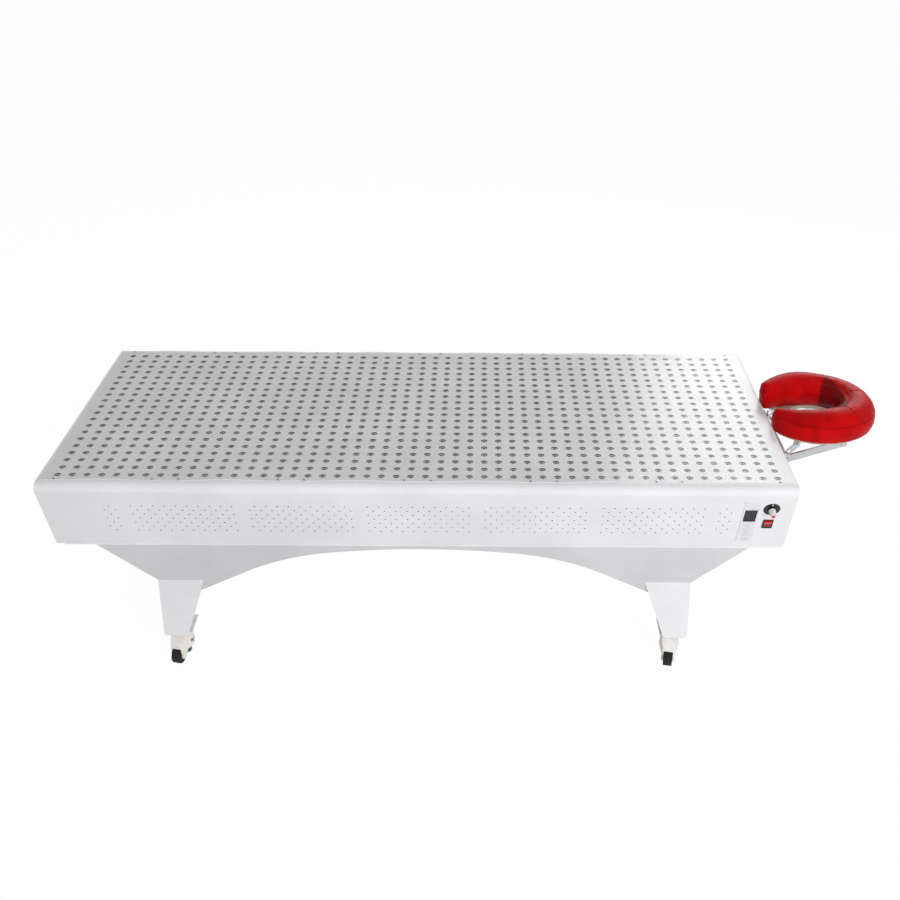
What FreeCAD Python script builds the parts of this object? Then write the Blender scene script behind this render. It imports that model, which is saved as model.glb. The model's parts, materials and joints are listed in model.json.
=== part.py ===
import FreeCAD, Part
import math
import os
import re

import Sketcher
from FreeCAD import Placement, Rotation, Vector

# A red light therapy bed. A long casing of bent sheet steel holds a field of lights under a clear
# sheet, with vents and a small control group on its front slope. It stands on two arched aprons,
# four legs and four levelling casters, and a face cradle with a horseshoe cushion plugs into its
# head end.
# Lengths are in millimetres and angles in degrees. +X runs along the bed to the head end, -Y is the
# control side, +Z is up, and the origin is on the floor under the middle of the whole object.

DIMENSIONS = {
    # Casing
    "bed_length": 1904,
    "bed_width": 806,
    "bed_height": 660,
    "sheet_steel": 2,
    "roll_radius": 18,
    "side_lean": 18,
    "slope_length": 204,
    "top_flange": 24,
    "end_flange": 36,
    "bottom_flange": 28,
    "pan_depth": 5,
    "pan_end_inset": 20,
    "pan_side_inset": 2,
    # Vents in the front slope
    "vent_radius": 1.9,
    "vent_pitch": 28.4,
    "vent_rows": 7,
    "vent_row_gap": 16.3,
    "vent_first_slope": 49,
    "vent_from_end": 172,
    "vent_end_gap": 183,
    "vent_group_gap": 42,
    # Clear sheet and light field
    "cover_thickness": 5,
    "cover_end_inset": 9,
    "cover_side_inset": 22.5,
    "cover_corner": 4,
    "led_pitch": 37,
    "board_columns": 10,
    "board_gap": 4,
    "board_thickness": 1.6,
    "standoff_height": 10,
    "standoff_radius": 4,
    "standoff_inset": 12,
    "reflector_thickness": 1.5,
    "reflector_lap": 14,
    "rib_clearance": 2,
    "rib_window_width": 420,
    "rib_window_height": 110,
    # Power and cooling
    "supply_length": 215,
    "supply_width": 115,
    "supply_height": 50,
    "fan_from_end": 150,
    "fan_size": 120,
    "fan_depth": 25,
    "fan_wall": 4,
    "fan_tip_gap": 2,
    "fan_web": 3,
    "fan_arm_width": 8,
    "fan_hub_radius": 20,
    "fan_pin_radius": 2.5,
    "fan_blade_root": 1,
    "fan_blade_chord": 16,
    "fan_blade_thickness": 2,
    "fan_blades": 7,
    "inlet_from_end": 109,
    "inlet_slope": 106,
    "inlet_flange_width": 50,
    "inlet_flange_height": 30,
    "inlet_flange_thickness": 2.5,
    "inlet_body_width": 28,
    "inlet_body_height": 21,
    "inlet_body_depth": 22,
    "inlet_well_width": 24,
    "inlet_well_height": 16.5,
    "inlet_well_depth": 16,
    "inlet_pin_pitch": 7,
    "inlet_blade_width": 2,
    "inlet_blade_height": 5,
    "inlet_blade_recess": 3,
    "inlet_corner": 3,
    # Controls on the front slope, measured from the head end and down the slope
    "keypad_from_end": 109,
    "keypad_slope": 100,
    "keypad_width": 40,
    "keypad_height": 156,
    "keypad_thickness": 1.5,
    "keypad_corner": 2,
    "display_slope": 74,
    "display_width": 31,
    "display_height": 45,
    "display_depth": 12,
    "display_rim": 3,
    "key_first_slope": 113,
    "key_pitch": 18.5,
    "key_radius": 7,
    "key_stem_radius": 4,
    "key_stem_length": 9,
    "key_proud": 0.5,
    "key_travel": 0.5,
    "key_bevel": 0.4,
    "dial_from_end": 59,
    "dial_slope": 48,
    "dial_radius": 21,
    "dial_thickness": 1.2,
    "knob_radius": 9,
    "knob_tip_radius": 7,
    "knob_height": 20,
    "knob_lift": 4,
    "knob_skirt": 3,
    "knob_bevel": 1,
    "knob_cap_radius": 5,
    "knob_cap_thickness": 1.5,
    "knob_cap_dome": 0.6,
    "shaft_radius": 3,
    "bush_radius": 4.5,
    "pot_radius": 8.5,
    "pot_depth": 10,
    "bush_proud": 3.5,
    "shaft_end_gap": 2,
    "bore_end_gap": 1.5,
    "switch_slope": 106.5,
    "switch_width": 26.5,
    "switch_height": 33,
    "switch_lip": 2,
    "switch_frame": 3.2,
    "switch_body_depth": 20,
    "switch_well_depth": 14,
    "switch_corner": 1.5,
    "rocker_pivot_depth": 5,
    "rocker_pivot_radius": 1.5,
    "rocker_heel": 3.5,
    "rocker_edge": 4,
    "rocker_brow": 1,
    "rocker_valley": 0.5,
    "rocker_tilt": 11,
    "rocker_side_gap": 0.4,
    "rocker_end_gap": 1.7,
    # Aprons, legs and the tube frames behind the legs, all a little nearer the head end
    "base_offset": 7,
    "apron_steel": 2.5,
    "apron_top_width": 672,
    "apron_drop": 140,
    "apron_end_inset": 94,
    "apron_flange": 30,
    "leg_stance": 602,
    "leg_from_end": 228.5,
    "leg_top_width": 124.5,
    "leg_bottom_width": 65.5,
    "leg_flare": 7.5,
    "leg_return": 12,
    "leg_corner": 10,
    "leg_inner_corner": 14,
    "arch_tongue": 43,
    "arch_run": 134,
    "arch_shoulder": 230,
    "arch_mid_angle": 7.4,
    "arch_end_angle": 30.5,
    "post_size": 30,
    "beam_depth": 40,
    "foot_plate_thickness": 4,
    "foot_plate_width": 72,
    # Levelling casters
    "caster_from_end": 259,
    "caster_stance": 500,
    "caster_head": 50,
    "caster_plate_size": 70,
    "caster_plate_thickness": 3,
    "caster_plate_corner": 6,
    "race_radius": 23,
    "race_height": 4,
    "race_bevel": 2,
    "king_pin_radius": 6,
    "king_pin_length": 17,
    "wheel_radius": 25,
    "wheel_width": 25,
    "wheel_round": 3,
    "wheel_hub": 4,
    "wheel_dish": 2,
    "wheel_rim": 5,
    "wheel_foot_gap": 1,
    "wheel_side_gap": 1,
    "wheel_well_gap": 2.5,
    "axle_radius": 4,
    "axle_proud": 1,
    "housing_radius": 27,
    "housing_skirt": 10,
    "flank_angle": 13,
    "hood_margin": 5,
    "nose_half_width": 18.5,
    "nose_corner": 6,
    "nose_overhang": 10,
    "nose_drop": 26,
    "lug_radius": 11,
    "lug_rake": 35,
    "lug_root": 4,
    "thumb_radius": 22,
    "thumb_height": 13,
    "thumb_dip": 4,
    "thumb_gap": 0.5,
    "thumb_grooves": 12,
    "groove_width": 4,
    "groove_depth": 1.5,
    "foot_pad_radius": 16,
    "foot_pad_height": 8,
    "foot_pad_lift": 8,
    "foot_bevel": 1,
    "foot_slope": 3,
    "foot_collar": 2,
    "foot_stem_radius": 7,
    "stem_top_gap": 2,
    # Face cradle, measured from the head end and from the casing's top
    "rod_spacing": 222,
    "rod_radius": 6,
    "rod_depth": 85,
    "rod_insert": 92,
    "socket_wall": 4,
    "socket_tail": 6,
    "socket_flange": 2,
    "socket_flange_radius": 16,
    "base_bar_offset": 22,
    "base_bar_width": 18,
    "base_bar_height": 14,
    "plate_thickness": 4,
    "arm_thickness": 8,
    "arm_width": 20,
    "arm_foot_offset": 45,
    "arm_foot_depth": 85,
    "arm_head_offset": 193,
    "strut_width": 16,
    "strut_tail": 13,
    "slot_end_wall": 6,
    "slot_reach": 12,
    "clamp_offset": 38,
    "clamp_depth": 66,
    "clamp_radius": 4,
    "clamp_head": 4,
    "clamp_head_rim": 3,
    "strut_head_offset": 66,
    "pivot_depth": 34,
    "pivot_radius": 4,
    "pin_head": 2.5,
    "lug_round": 9,
    "weld_overlap": 1,
    "lever_length": 68,
    "lever_width": 14,
    "lever_thickness": 5,
    "lever_overlap": 1.5,
    "lever_splay": 2,
    "lever_swell": 1,
    "lever_pin_radius": 2.5,
    "tongue_thickness": 4,
    "platform_thickness": 10,
    "platform_depth": 12,
    "platform_rim": 18,
    "platform_hole_radius": 75,
    # Horseshoe cushion
    "pad_centre_from_end": 136,
    "pad_half_length": 157,
    "pad_half_width": 157,
    "pad_section": 102,
    "pad_end_section": 40,
    "pad_seam_height": 50,
    "pad_crown_height": 78,
    "pad_end_crown_height": 66,
    "pad_bulge": 5,
    "pad_opening_angle": 33,
    # Clearances
    "fit_gap": 0.3,
    "running_gap": 0.1,
    "slot_gap": 0.8,
}

# How far each caster has swung about its upright axis
CASTER_TURNS = {"foot_front": -13, "head_front": -10, "foot_rear": 35, "head_rear": -20}

doc = FreeCAD.newDocument("TherapyBed")
sizes = doc.addObject("Spreadsheet::Sheet", "Sizes")
for row, (name, number) in enumerate(DIMENSIONS.items(), start=1):
    sizes.set(f"A{row}", name)
    sizes.set(f"B{row}", str(number))
    sizes.setAlias(f"B{row}", name)
doc.recompute()

# Places that several pieces share, as expressions over the sheet's names
BED_X = "(-(pad_centre_from_end + pad_half_length + pad_bulge) / 2)"
BASE_X = f"({BED_X} + base_offset)"
HALF_LENGTH = "(bed_length / 2)"
CASING_TOP = "(bed_height - cover_thickness)"
ROLL_Y = "(bed_width / 2 - roll_radius)"
FLANGE_Y = f"({ROLL_Y} - top_flange)"
TANGENT_Y = f"({ROLL_Y} + roll_radius * cos(side_lean))"
TANGENT_Z = "(-roll_radius - roll_radius * sin(side_lean))"
EDGE_Y = f"({TANGENT_Y} - slope_length * sin(side_lean))"
EDGE_Z = f"({TANGENT_Z} - slope_length * cos(side_lean))"
PAN_FLOOR = f"({EDGE_Z} - pan_depth + sheet_steel)"
PAN_UNDER = f"({EDGE_Z} - pan_depth)"
VENT_END = f"({HALF_LENGTH} - vent_from_end)"
VENT_GROUP_PITCH = f"(({VENT_END} - vent_end_gap) / 2)"
REFLECTOR_UNDER = "(-sheet_steel - reflector_thickness)"
BOARD_LENGTH = "(board_columns * led_pitch)"
LED_ROWS = f"floor((2 * {FLANGE_Y} + 2 * reflector_lap) / led_pitch)"
BOARDS = f"floor((bed_length - 2 * end_flange + 2 * reflector_lap) / {BOARD_LENGTH})"
FAN_BORE = "(fan_size / 2 - fan_wall)"
FAN_REACH = f"({FAN_BORE} - fan_tip_gap)"
CASTER_HEIGHT = "(2 * wheel_radius + caster_head)"
WHEEL_TRAIL = "(foot_pad_radius + wheel_foot_gap + wheel_radius)"
FOLD_Z = f"({CASING_TOP} + {PAN_UNDER} - apron_drop)"
APRON_LEAN = "atan((apron_top_width - leg_stance) / 2 / apron_drop)"
APRON_SLOPE = f"(apron_drop / cos({APRON_LEAN}))"
LEG_OUTER = f"({HALF_LENGTH} - leg_from_end)"
LEG_INNER = f"({LEG_OUTER} - leg_top_width)"
LEG_HEIGHT = f"({FOLD_Z} - {CASTER_HEIGHT})"
LEG_TAPER = f"((leg_top_width + leg_flare - leg_bottom_width) / {LEG_HEIGHT})"
CASTER_X = f"({HALF_LENGTH} - caster_from_end)"
AXLE_Z = "wheel_radius"
KEYPAD_X = f"({HALF_LENGTH} - keypad_from_end)"
DIAL_X = f"({HALF_LENGTH} - dial_from_end)"
RACE_UNDER = f"({CASTER_HEIGHT} - caster_plate_thickness - race_height)"
THUMB_BOTTOM = "(2 * wheel_radius - thumb_dip)"
HOUSING_FLOOR = f"({THUMB_BOTTOM} - housing_skirt)"
FOOT_STEM_TOP = f"({RACE_UNDER} - king_pin_length - stem_top_gap)"
LUG_Y = "(rod_spacing / 2)"
CUSHION_UNDER = "(-platform_depth)"


def value(text):
    """The number that an expression over the sheet's names comes to."""
    return float(sizes.evalExpression(text))


def bound(text):
    """The expression as the other objects of the document write it."""
    return re.sub(r"\b[a-z]\w*", lambda word: "Sizes." + word[0] if word[0] in DIMENSIONS else word[0], text)


# Modelling helpers

def place(piece, x="0", y="0", z="0", turn=Rotation()):
    """Puts a piece at bound coordinates, turned by a fixed rotation."""
    piece.Placement = Placement(Vector(), turn)
    for axis, text in zip("xyz", (x, y, z)):
        piece.setExpression(f"Placement.Base.{axis}", bound(text))
    return piece


def new_body(label):
    body = doc.addObject("PartDesign::Body", label)
    body.Label = label
    return body


def sketch_on(body, plane, lift="0", middle=("0", "0"), tilt="0"):
    """A sketch on one of the body's origin planes, moved within the plane, along its normal, and tilted."""
    sketch = body.newObject("Sketcher::SketchObject", f"{body.Label}_sketch")
    support = next(item for item in body.Origin.OriginFeatures if item.Role == plane)
    sketch.AttachmentSupport = [(support, "")]
    sketch.MapMode = "FlatFace"
    sketch.AttachmentOffset = Placement(Vector(), Rotation(Vector(1, 0, 0), value(tilt)))
    for axis, text in zip("xyz", (*middle, lift)):
        sketch.setExpression(f"AttachmentOffset.Base.{axis}", bound(text))
    return sketch


def pin(sketch, kind, first, first_end, second, second_end, text):
    """A bound distance along X or Y between two sketch points."""
    number = sketch.addConstraint(
        Sketcher.Constraint(kind, first, first_end, second, second_end, value(text))
    )
    sketch.setExpression(f"Constraints[{number}]", bound(text))


def arc_between(start, end, radius):
    """The short arc from start to end, bulging right of the way from start to end, or left if radius < 0."""
    middle = (start + end) / 2
    half = (end - start).Length / 2
    along = (end - start).normalize()
    side = Vector(-along.y, along.x, 0) * math.copysign(1, radius)
    centre = middle + side * math.sqrt(max(radius * radius - half * half, 0))
    first, last = (start, end) if radius > 0 else (end, start)
    angles = [math.atan2(point.y - centre.y, point.x - centre.x) for point in (first, last)]
    return Part.ArcOfCircle(Part.Circle(centre, Vector(0, 0, 1), abs(radius)), *angles)


def draw(sketch, points, flip=False):
    """A closed outline of bound points. A point's third entry is the radius of the arc to the next point."""
    sign = "-" if flip else ""
    texts = [(f"{sign}({point[0]})", point[1]) for point in points]
    corners = [Vector(value(x), value(y), 0) for x, y in texts]
    radii = [point[2] if len(point) > 2 else None for point in points]
    first = sketch.GeometryCount
    count = len(points)
    starts = []
    for index in range(count):
        start, end = corners[index], corners[(index + 1) % count]
        if radii[index] is None:
            sketch.addGeometry(Part.LineSegment(start, end), False)
            starts.append(1)
            continue
        radius = value(radii[index]) * (-1 if flip else 1)
        sketch.addGeometry(arc_between(start, end, radius), False)
        starts.append(1 if radius > 0 else 2)
    for index in range(count):
        after = (index + 1) % count
        sketch.addConstraint(Sketcher.Constraint(
            "Coincident", first + index, 3 - starts[index], first + after, starts[after]))
    for index, (x, y) in enumerate(texts):
        pin(sketch, "DistanceX", -1, 1, first + index, starts[index], x)
        pin(sketch, "DistanceY", -1, 1, first + index, starts[index], y)
        if radii[index] is not None:
            text = f"abs({radii[index]})"
            number = sketch.addConstraint(Sketcher.Constraint("Radius", first + index, value(text)))
            sketch.setExpression(f"Constraints[{number}]", bound(text))


def draw_box(sketch, x, y, width, height):
    """A rectangle about a middle point."""
    left, right = f"{x} - ({width}) / 2", f"{x} + ({width}) / 2"
    low, high = f"{y} - ({height}) / 2", f"{y} + ({height}) / 2"
    draw(sketch, [(left, low), (right, low), (right, high), (left, high)])


def draw_circle(sketch, x, y, radius):
    number = sketch.addGeometry(
        Part.Circle(Vector(value(x), value(y), 0), Vector(0, 0, 1), value(radius)), False)
    pin(sketch, "DistanceX", -1, 1, number, 3, x)
    pin(sketch, "DistanceY", -1, 1, number, 3, y)
    constraint = sketch.addConstraint(Sketcher.Constraint("Radius", number, value(radius)))
    sketch.setExpression(f"Constraints[{constraint}]", bound(radius))


def extrude(body, kind, sketch, length, both, back):
    feature = body.newObject(f"PartDesign::{kind}", f"{body.Label}_{kind.lower()}")
    feature.Profile = sketch
    feature.SideType = "Symmetric" if both else "One side"
    feature.Reversed = back
    feature.setExpression("Length", bound(length))
    return feature


def pad(body, sketch, length, both=False, back=False):
    return extrude(body, "Pad", sketch, length, both, back)


def pocket(body, sketch, length, both=False, back=False):
    return extrude(body, "Pocket", sketch, length, both, back)


def revolve(body, sketch, axis="V_Axis"):
    feature = body.newObject("PartDesign::Revolution", f"{body.Label}_revolution")
    feature.Profile = sketch
    feature.ReferenceAxis = (sketch, [axis])
    feature.Angle = 360
    return feature


def ring_pattern(body, feature, count):
    """Repeats a feature around the body's Z axis."""
    pattern = body.newObject("PartDesign::PolarPattern", f"{body.Label}_pattern")
    pattern.Originals = [feature]
    pattern.Axis = (next(item for item in body.Origin.OriginFeatures if item.Role == "Z_Axis"), [""])
    pattern.Angle = 360
    pattern.setExpression("Occurrences", bound(count))
    body.Tip = pattern
    return pattern


def group(label, base, places):
    """Copies of one body at several places, as the separate solids of one piece."""
    doc.recompute()
    piece = doc.addObject("Part::Feature", label)
    piece.Label = label
    piece.Shape = Part.makeCompound([moved(base.Shape, spot) for spot in places])
    return piece


def moved(shape, spot):
    copy = shape.copy()
    copy.Placement = spot.multiply(shape.Placement)
    return copy


def on_slope(piece, x, slope, rear=False):
    """Stands a piece on a long panel: its X runs along the bed, its Y up the slope and its Z outwards."""
    lean = Rotation(Vector(1, 0, 0), 90 + value("side_lean"))
    turn = Rotation(Vector(0, 0, 1), 180 if rear else 0)
    out = f"({TANGENT_Y} - ({slope}) * sin(side_lean))"
    up = f"{CASING_TOP} + {TANGENT_Z} - ({slope}) * cos(side_lean)"
    return place(piece, f"{BED_X} + {x}", out if rear else f"-{out}", up, turn.multiply(lean))


# Casing

def side_panel(label, cuts, rear=False):
    """A long panel: top flange, rolled edge, sloped face with its cut-outs, and bottom flange."""
    body = new_body(label)
    inner_roll = "(roll_radius - sheet_steel)"
    inner_tangent_y = f"({ROLL_Y} + {inner_roll} * cos(side_lean))"
    inner_tangent_z = f"(-roll_radius - {inner_roll} * sin(side_lean))"
    inner_edge_z = f"({EDGE_Z} + sheet_steel)"
    inner_edge_y = f"({inner_tangent_y} - ({inner_tangent_z} - {inner_edge_z}) * tan(side_lean))"
    profile = sketch_on(body, "YZ_Plane")
    draw(profile, [
        (f"-{FLANGE_Y}", "0"),
        (f"-{ROLL_Y}", "0", "roll_radius"),
        (f"-{TANGENT_Y}", TANGENT_Z),
        (f"-{EDGE_Y}", EDGE_Z),
        (f"bottom_flange - {EDGE_Y}", EDGE_Z),
        (f"bottom_flange - {EDGE_Y}", inner_edge_z),
        (f"-{inner_edge_y}", inner_edge_z),
        (f"-{inner_tangent_y}", inner_tangent_z, f"-{inner_roll}"),
        (f"-{ROLL_Y}", "-sheet_steel"),
        (f"-{FLANGE_Y}", "-sheet_steel"),
    ])
    pad(body, profile, "bed_length - 2 * sheet_steel", both=True)
    face = sketch_on(body, "XZ_Plane", lift=TANGENT_Y, middle=("0", TANGENT_Z), tilt="side_lean")
    for cut in cuts:
        cut(face)
    pocket(body, face, "2 * sheet_steel", both=True)
    return place(body, BED_X, "0", CASING_TOP, Rotation(Vector(0, 0, 1), 180 if rear else 0))


def control_cuts():
    """The front slope's openings, each a fit round the control that passes through it."""
    def display(face):
        draw_box(face, KEYPAD_X, "-display_slope",
                 "display_width + 2 * fit_gap", "display_height + 2 * fit_gap")

    def keys(face):
        for slope in key_slopes():
            draw_circle(face, KEYPAD_X, f"-{slope}", "key_stem_radius + fit_gap")

    def bush(face):
        draw_circle(face, DIAL_X, "-dial_slope", "bush_radius + fit_gap")

    def switch(face):
        draw_box(face, DIAL_X, "-switch_slope",
                 "switch_width - 2 * switch_lip + 2 * fit_gap",
                 "switch_height - 2 * switch_lip + 2 * fit_gap")

    return [display, keys, bush, switch]


def inlet_cut(face):
    draw_box(face, f"-({HALF_LENGTH} - inlet_from_end)", "-inlet_slope",
             "inlet_body_width + 2 * fit_gap", "inlet_body_height + 2 * fit_gap")


def vent_spots():
    """Places along the bed and down the slope: five staggered groups and a narrow one at each end."""
    pitch = value("vent_pitch")
    columns = int(value(f"floor(({VENT_GROUP_PITCH} - vent_group_gap) / vent_pitch)")) + 1
    groups = [((index - 2) * value(VENT_GROUP_PITCH), columns, index) for index in range(5)]
    groups += [(end * value(VENT_END), 2, 1) for end in (-1, 1)]
    for middle, longest, shift in groups:
        for row in range(round(value("vent_rows"))):
            count = longest - (row + shift) % 2
            for column in range(count):
                slope = value(f"vent_first_slope + {row} * vent_row_gap")
                yield middle + (column - (count - 1) / 2) * pitch, slope


def vented(label, panel):
    """The front panel with its vents, small six-sided holes punched square to the slope."""
    doc.recompute()
    radius, reach = value("vent_radius"), value("2 * sheet_steel")
    corners = [Vector(radius * math.cos(step * math.pi / 3), radius * math.sin(step * math.pi / 3), -reach)
               for step in range(7)]
    punch = Part.Face(Part.makePolygon(corners)).extrude(Vector(0, 0, 2 * reach))
    lean = Rotation(Vector(1, 0, 0), 90 + value("side_lean"))
    punches = []
    for x, slope in vent_spots():
        y = value(f"-({TANGENT_Y} - {slope} * sin(side_lean))")
        z = value(f"{TANGENT_Z} - {slope} * cos(side_lean)")
        punches.append(moved(punch, Placement(Vector(x, y, z), lean)))
    plain = panel.Shape.copy()
    plain.Placement = Placement()
    piece = doc.addObject("Part::Feature", label)
    piece.Label = label
    piece.Shape = plain.cut(Part.makeCompound(punches))
    return place(piece, BED_X, "0", CASING_TOP)


def end_panel(label, end):
    """An end of the casing: its whole outline with a flange under the clear sheet and one over the tray."""
    body = new_body(label)
    inward = end > 0
    lift = f"{end} * {HALF_LENGTH}"
    outline = sketch_on(body, "YZ_Plane", lift=lift)
    draw(outline, [
        (ROLL_Y, "0"),
        (f"-{ROLL_Y}", "0", "roll_radius"),
        (f"-{TANGENT_Y}", TANGENT_Z),
        (f"-{EDGE_Y}", EDGE_Z),
        (EDGE_Y, EDGE_Z),
        (TANGENT_Y, TANGENT_Z, "roll_radius"),
    ])
    pad(body, outline, "sheet_steel", back=inward)
    flange = sketch_on(body, "YZ_Plane", lift=lift)
    draw_box(flange, "0", "-sheet_steel / 2", f"2 * ({FLANGE_Y} - fit_gap)", "sheet_steel")
    pad(body, flange, "end_flange", back=inward)
    sill = sketch_on(body, "YZ_Plane", lift=lift)
    draw_box(sill, "0", f"{EDGE_Z} + sheet_steel / 2",
             f"2 * ({EDGE_Y} - bottom_flange - fit_gap)", "sheet_steel")
    pad(body, sill, "bottom_flange", back=inward)
    if inward:
        holes = sketch_on(body, "YZ_Plane", lift=lift)
        for side in ("-", ""):
            draw_circle(holes, f"{side}{LUG_Y}", "-rod_depth", "rod_radius + socket_wall + fit_gap")
        pocket(body, holes, "2 * sheet_steel", both=True)
    return place(body, BED_X, "0", CASING_TOP)


def bottom_pan():
    """The shallow tray that closes the casing, with an air hole under each fan."""
    body = new_body("bottom_pan")
    length = "(bed_length - 2 * pan_end_inset)"
    width = f"(2 * {EDGE_Y} - 2 * pan_side_inset)"
    outline = sketch_on(body, "XY_Plane", lift=PAN_UNDER)
    draw_box(outline, "0", "0", length, width)
    pad(body, outline, "pan_depth")
    tray = sketch_on(body, "XY_Plane", lift=EDGE_Z)
    draw_box(tray, "0", "0", f"{length} - 2 * sheet_steel", f"{width} - 2 * sheet_steel")
    pocket(body, tray, "pan_depth - sheet_steel")
    holes = sketch_on(body, "XY_Plane", lift=PAN_FLOOR)
    for spot in fan_places():
        draw_circle(holes, spot, "0", FAN_BORE)
    pocket(body, holes, "2 * sheet_steel", both=True)
    return place(body, BED_X, "0", CASING_TOP)


def cross_ribs():
    """Upright ribs between the light boards, from the tray to the reflector plate."""
    base = new_body("rib_base")
    low = f"({EDGE_Y} - bottom_flange - rib_clearance)"
    high = f"({FLANGE_Y})"
    outline = sketch_on(base, "YZ_Plane")
    draw(outline, [
        (f"-{low}", PAN_FLOOR),
        (low, PAN_FLOOR),
        (high, REFLECTOR_UNDER),
        (f"-{high}", REFLECTOR_UNDER),
    ])
    draw_box(outline, "0", f"({PAN_FLOOR} + {REFLECTOR_UNDER}) / 2", "rib_window_width", "rib_window_height")
    pad(base, outline, "sheet_steel", both=True)
    boards = round(value(BOARDS))
    spots = [Placement(Vector((index - boards / 2) * value(BOARD_LENGTH), 0, 0), Rotation())
             for index in range(1, boards)]
    return place(group("cross_ribs", base, spots), BED_X, "0", CASING_TOP)


def reflector_plate():
    """The white plate behind the clear sheet, held under the casing's flanges."""
    body = new_body("reflector_plate")
    outline = sketch_on(body, "XY_Plane", lift=REFLECTOR_UNDER)
    draw_box(outline, "0", "0", "bed_length - 2 * end_flange + 2 * reflector_lap",
             f"2 * {FLANGE_Y} + 2 * reflector_lap")
    pad(body, outline, "reflector_thickness")
    return place(body, BED_X, "0", CASING_TOP)


def led_boards():
    """The light boards side by side, each hung from the reflector plate by four standoffs."""
    base = new_body("board_base")
    length = f"({BOARD_LENGTH} - board_gap)"
    width = f"({LED_ROWS} * led_pitch - board_gap)"
    under = f"{REFLECTOR_UNDER} - standoff_height - board_thickness"
    outline = sketch_on(base, "XY_Plane", lift=under)
    draw_box(outline, "0", "0", length, width)
    pad(base, outline, "board_thickness")
    posts = sketch_on(base, "XY_Plane", lift=REFLECTOR_UNDER)
    for x in (f"-({length} / 2 - standoff_inset)", f"({length} / 2 - standoff_inset)"):
        for y in (f"-({width} / 2 - standoff_inset)", f"({width} / 2 - standoff_inset)"):
            draw_circle(posts, x, y, "standoff_radius")
    pad(base, posts, "standoff_height", back=True)
    boards = round(value(BOARDS))
    spots = [Placement(Vector((index - (boards - 1) / 2) * value(BOARD_LENGTH), 0, 0), Rotation())
             for index in range(boards)]
    return place(group("led_boards", base, spots), BED_X, "0", CASING_TOP)


def cover_sheet():
    """The clear sheet that people lie on."""
    body = new_body("cover_sheet")
    half_length = f"({HALF_LENGTH} - cover_end_inset)"
    half_width = "(bed_width / 2 - cover_side_inset)"
    outline = sketch_on(body, "XY_Plane")
    draw(outline, rounded_box(half_length, half_width, "cover_corner"))
    pad(body, outline, "cover_thickness")
    return place(body, BED_X, "0", CASING_TOP)


def rounded_box(half_x, half_y, corner):
    """The points of a rectangle with rounded corners about the origin."""
    return [
        (f"-{half_x} + {corner}", f"-{half_y}"),
        (f"{half_x} - {corner}", f"-{half_y}", corner),
        (half_x, f"-{half_y} + {corner}"),
        (half_x, f"{half_y} - {corner}", corner),
        (f"{half_x} - {corner}", half_y),
        (f"-{half_x} + {corner}", half_y, corner),
        (f"-{half_x}", f"{half_y} - {corner}"),
        (f"-{half_x}", f"-{half_y} + {corner}", corner),
    ]


# Power and cooling

def fan_places():
    """Distances of the two fans from the bed's middle, clear of the frames' beams."""
    reach = f"({HALF_LENGTH} - fan_from_end)"
    return [f"-{reach}", reach]


def power_supplies():
    """Two closed metal supplies on the tray, each midway between two ribs."""
    base = new_body("supply_base")
    outline = sketch_on(base, "XY_Plane", lift=PAN_FLOOR)
    draw_box(outline, "0", "0", "supply_length", "supply_width")
    pad(base, outline, "supply_height")
    even = round(value(BOARDS)) % 2 == 0
    reach = value(BOARD_LENGTH) / (2 if even else 1)
    spots = [Placement(Vector(end * reach, 0, 0), Rotation()) for end in (-1, 1)]
    return place(group("power_supplies", base, spots), BED_X, "0", CASING_TOP)


def fan_frames():
    """The square fan housings, each with a web of four arms that carries the rotor's pin."""
    base = new_body("fan_base")
    outline = sketch_on(base, "XY_Plane")
    draw_box(outline, "0", "0", "fan_size", "fan_size")
    draw_circle(outline, "0", "0", FAN_BORE)
    pad(base, outline, "fan_depth")
    arm_length = f"2 * {FAN_BORE} + fan_wall"
    for arm in (("fan_arm_width", arm_length), (arm_length, "fan_arm_width")):
        web = sketch_on(base, "XY_Plane")
        draw_box(web, "0", "0", *arm)
        pad(base, web, "fan_web")
    hub = sketch_on(base, "XY_Plane")
    draw_circle(hub, "0", "0", "fan_hub_radius")
    pad(base, hub, "fan_web")
    stub = sketch_on(base, "XY_Plane")
    draw_circle(stub, "0", "0", "fan_pin_radius")
    pad(base, stub, "fan_depth - fan_web")
    spots = [Placement(Vector(value(spot), 0, 0), Rotation()) for spot in fan_places()]
    return place(group("fan_frames", base, spots), BED_X, "0", f"{CASING_TOP} + {PAN_FLOOR}")


def fan_rotor(label, spot):
    """A hub that turns on the frame's pin, with slanted blades around it."""
    body = new_body(label)
    low = "fan_web + fit_gap"
    height = "(fan_depth - 2 * fan_web)"
    hub = sketch_on(body, "XY_Plane", lift=low)
    draw_circle(hub, "0", "0", "fan_hub_radius")
    draw_circle(hub, "0", "0", "fan_pin_radius + running_gap")
    pad(body, hub, height)
    section = sketch_on(body, "YZ_Plane", lift="fan_hub_radius - fan_blade_root")
    middle = f"{low} + {height} / 2"
    half = "fan_blade_chord / 2"
    draw(section, [
        (f"-{half}", f"{middle} - {half}"),
        (f"-{half} + fan_blade_thickness", f"{middle} - {half}"),
        (half, f"{middle} + {half}"),
        (f"{half} - fan_blade_thickness", f"{middle} + {half}"),
    ])
    blade = pad(body, section, f"{FAN_REACH} - fan_hub_radius + fan_blade_root")
    ring_pattern(body, blade, "fan_blades")
    return place(body, f"{BED_X} + {spot}", "0", f"{CASING_TOP} + {PAN_FLOOR}")


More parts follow.
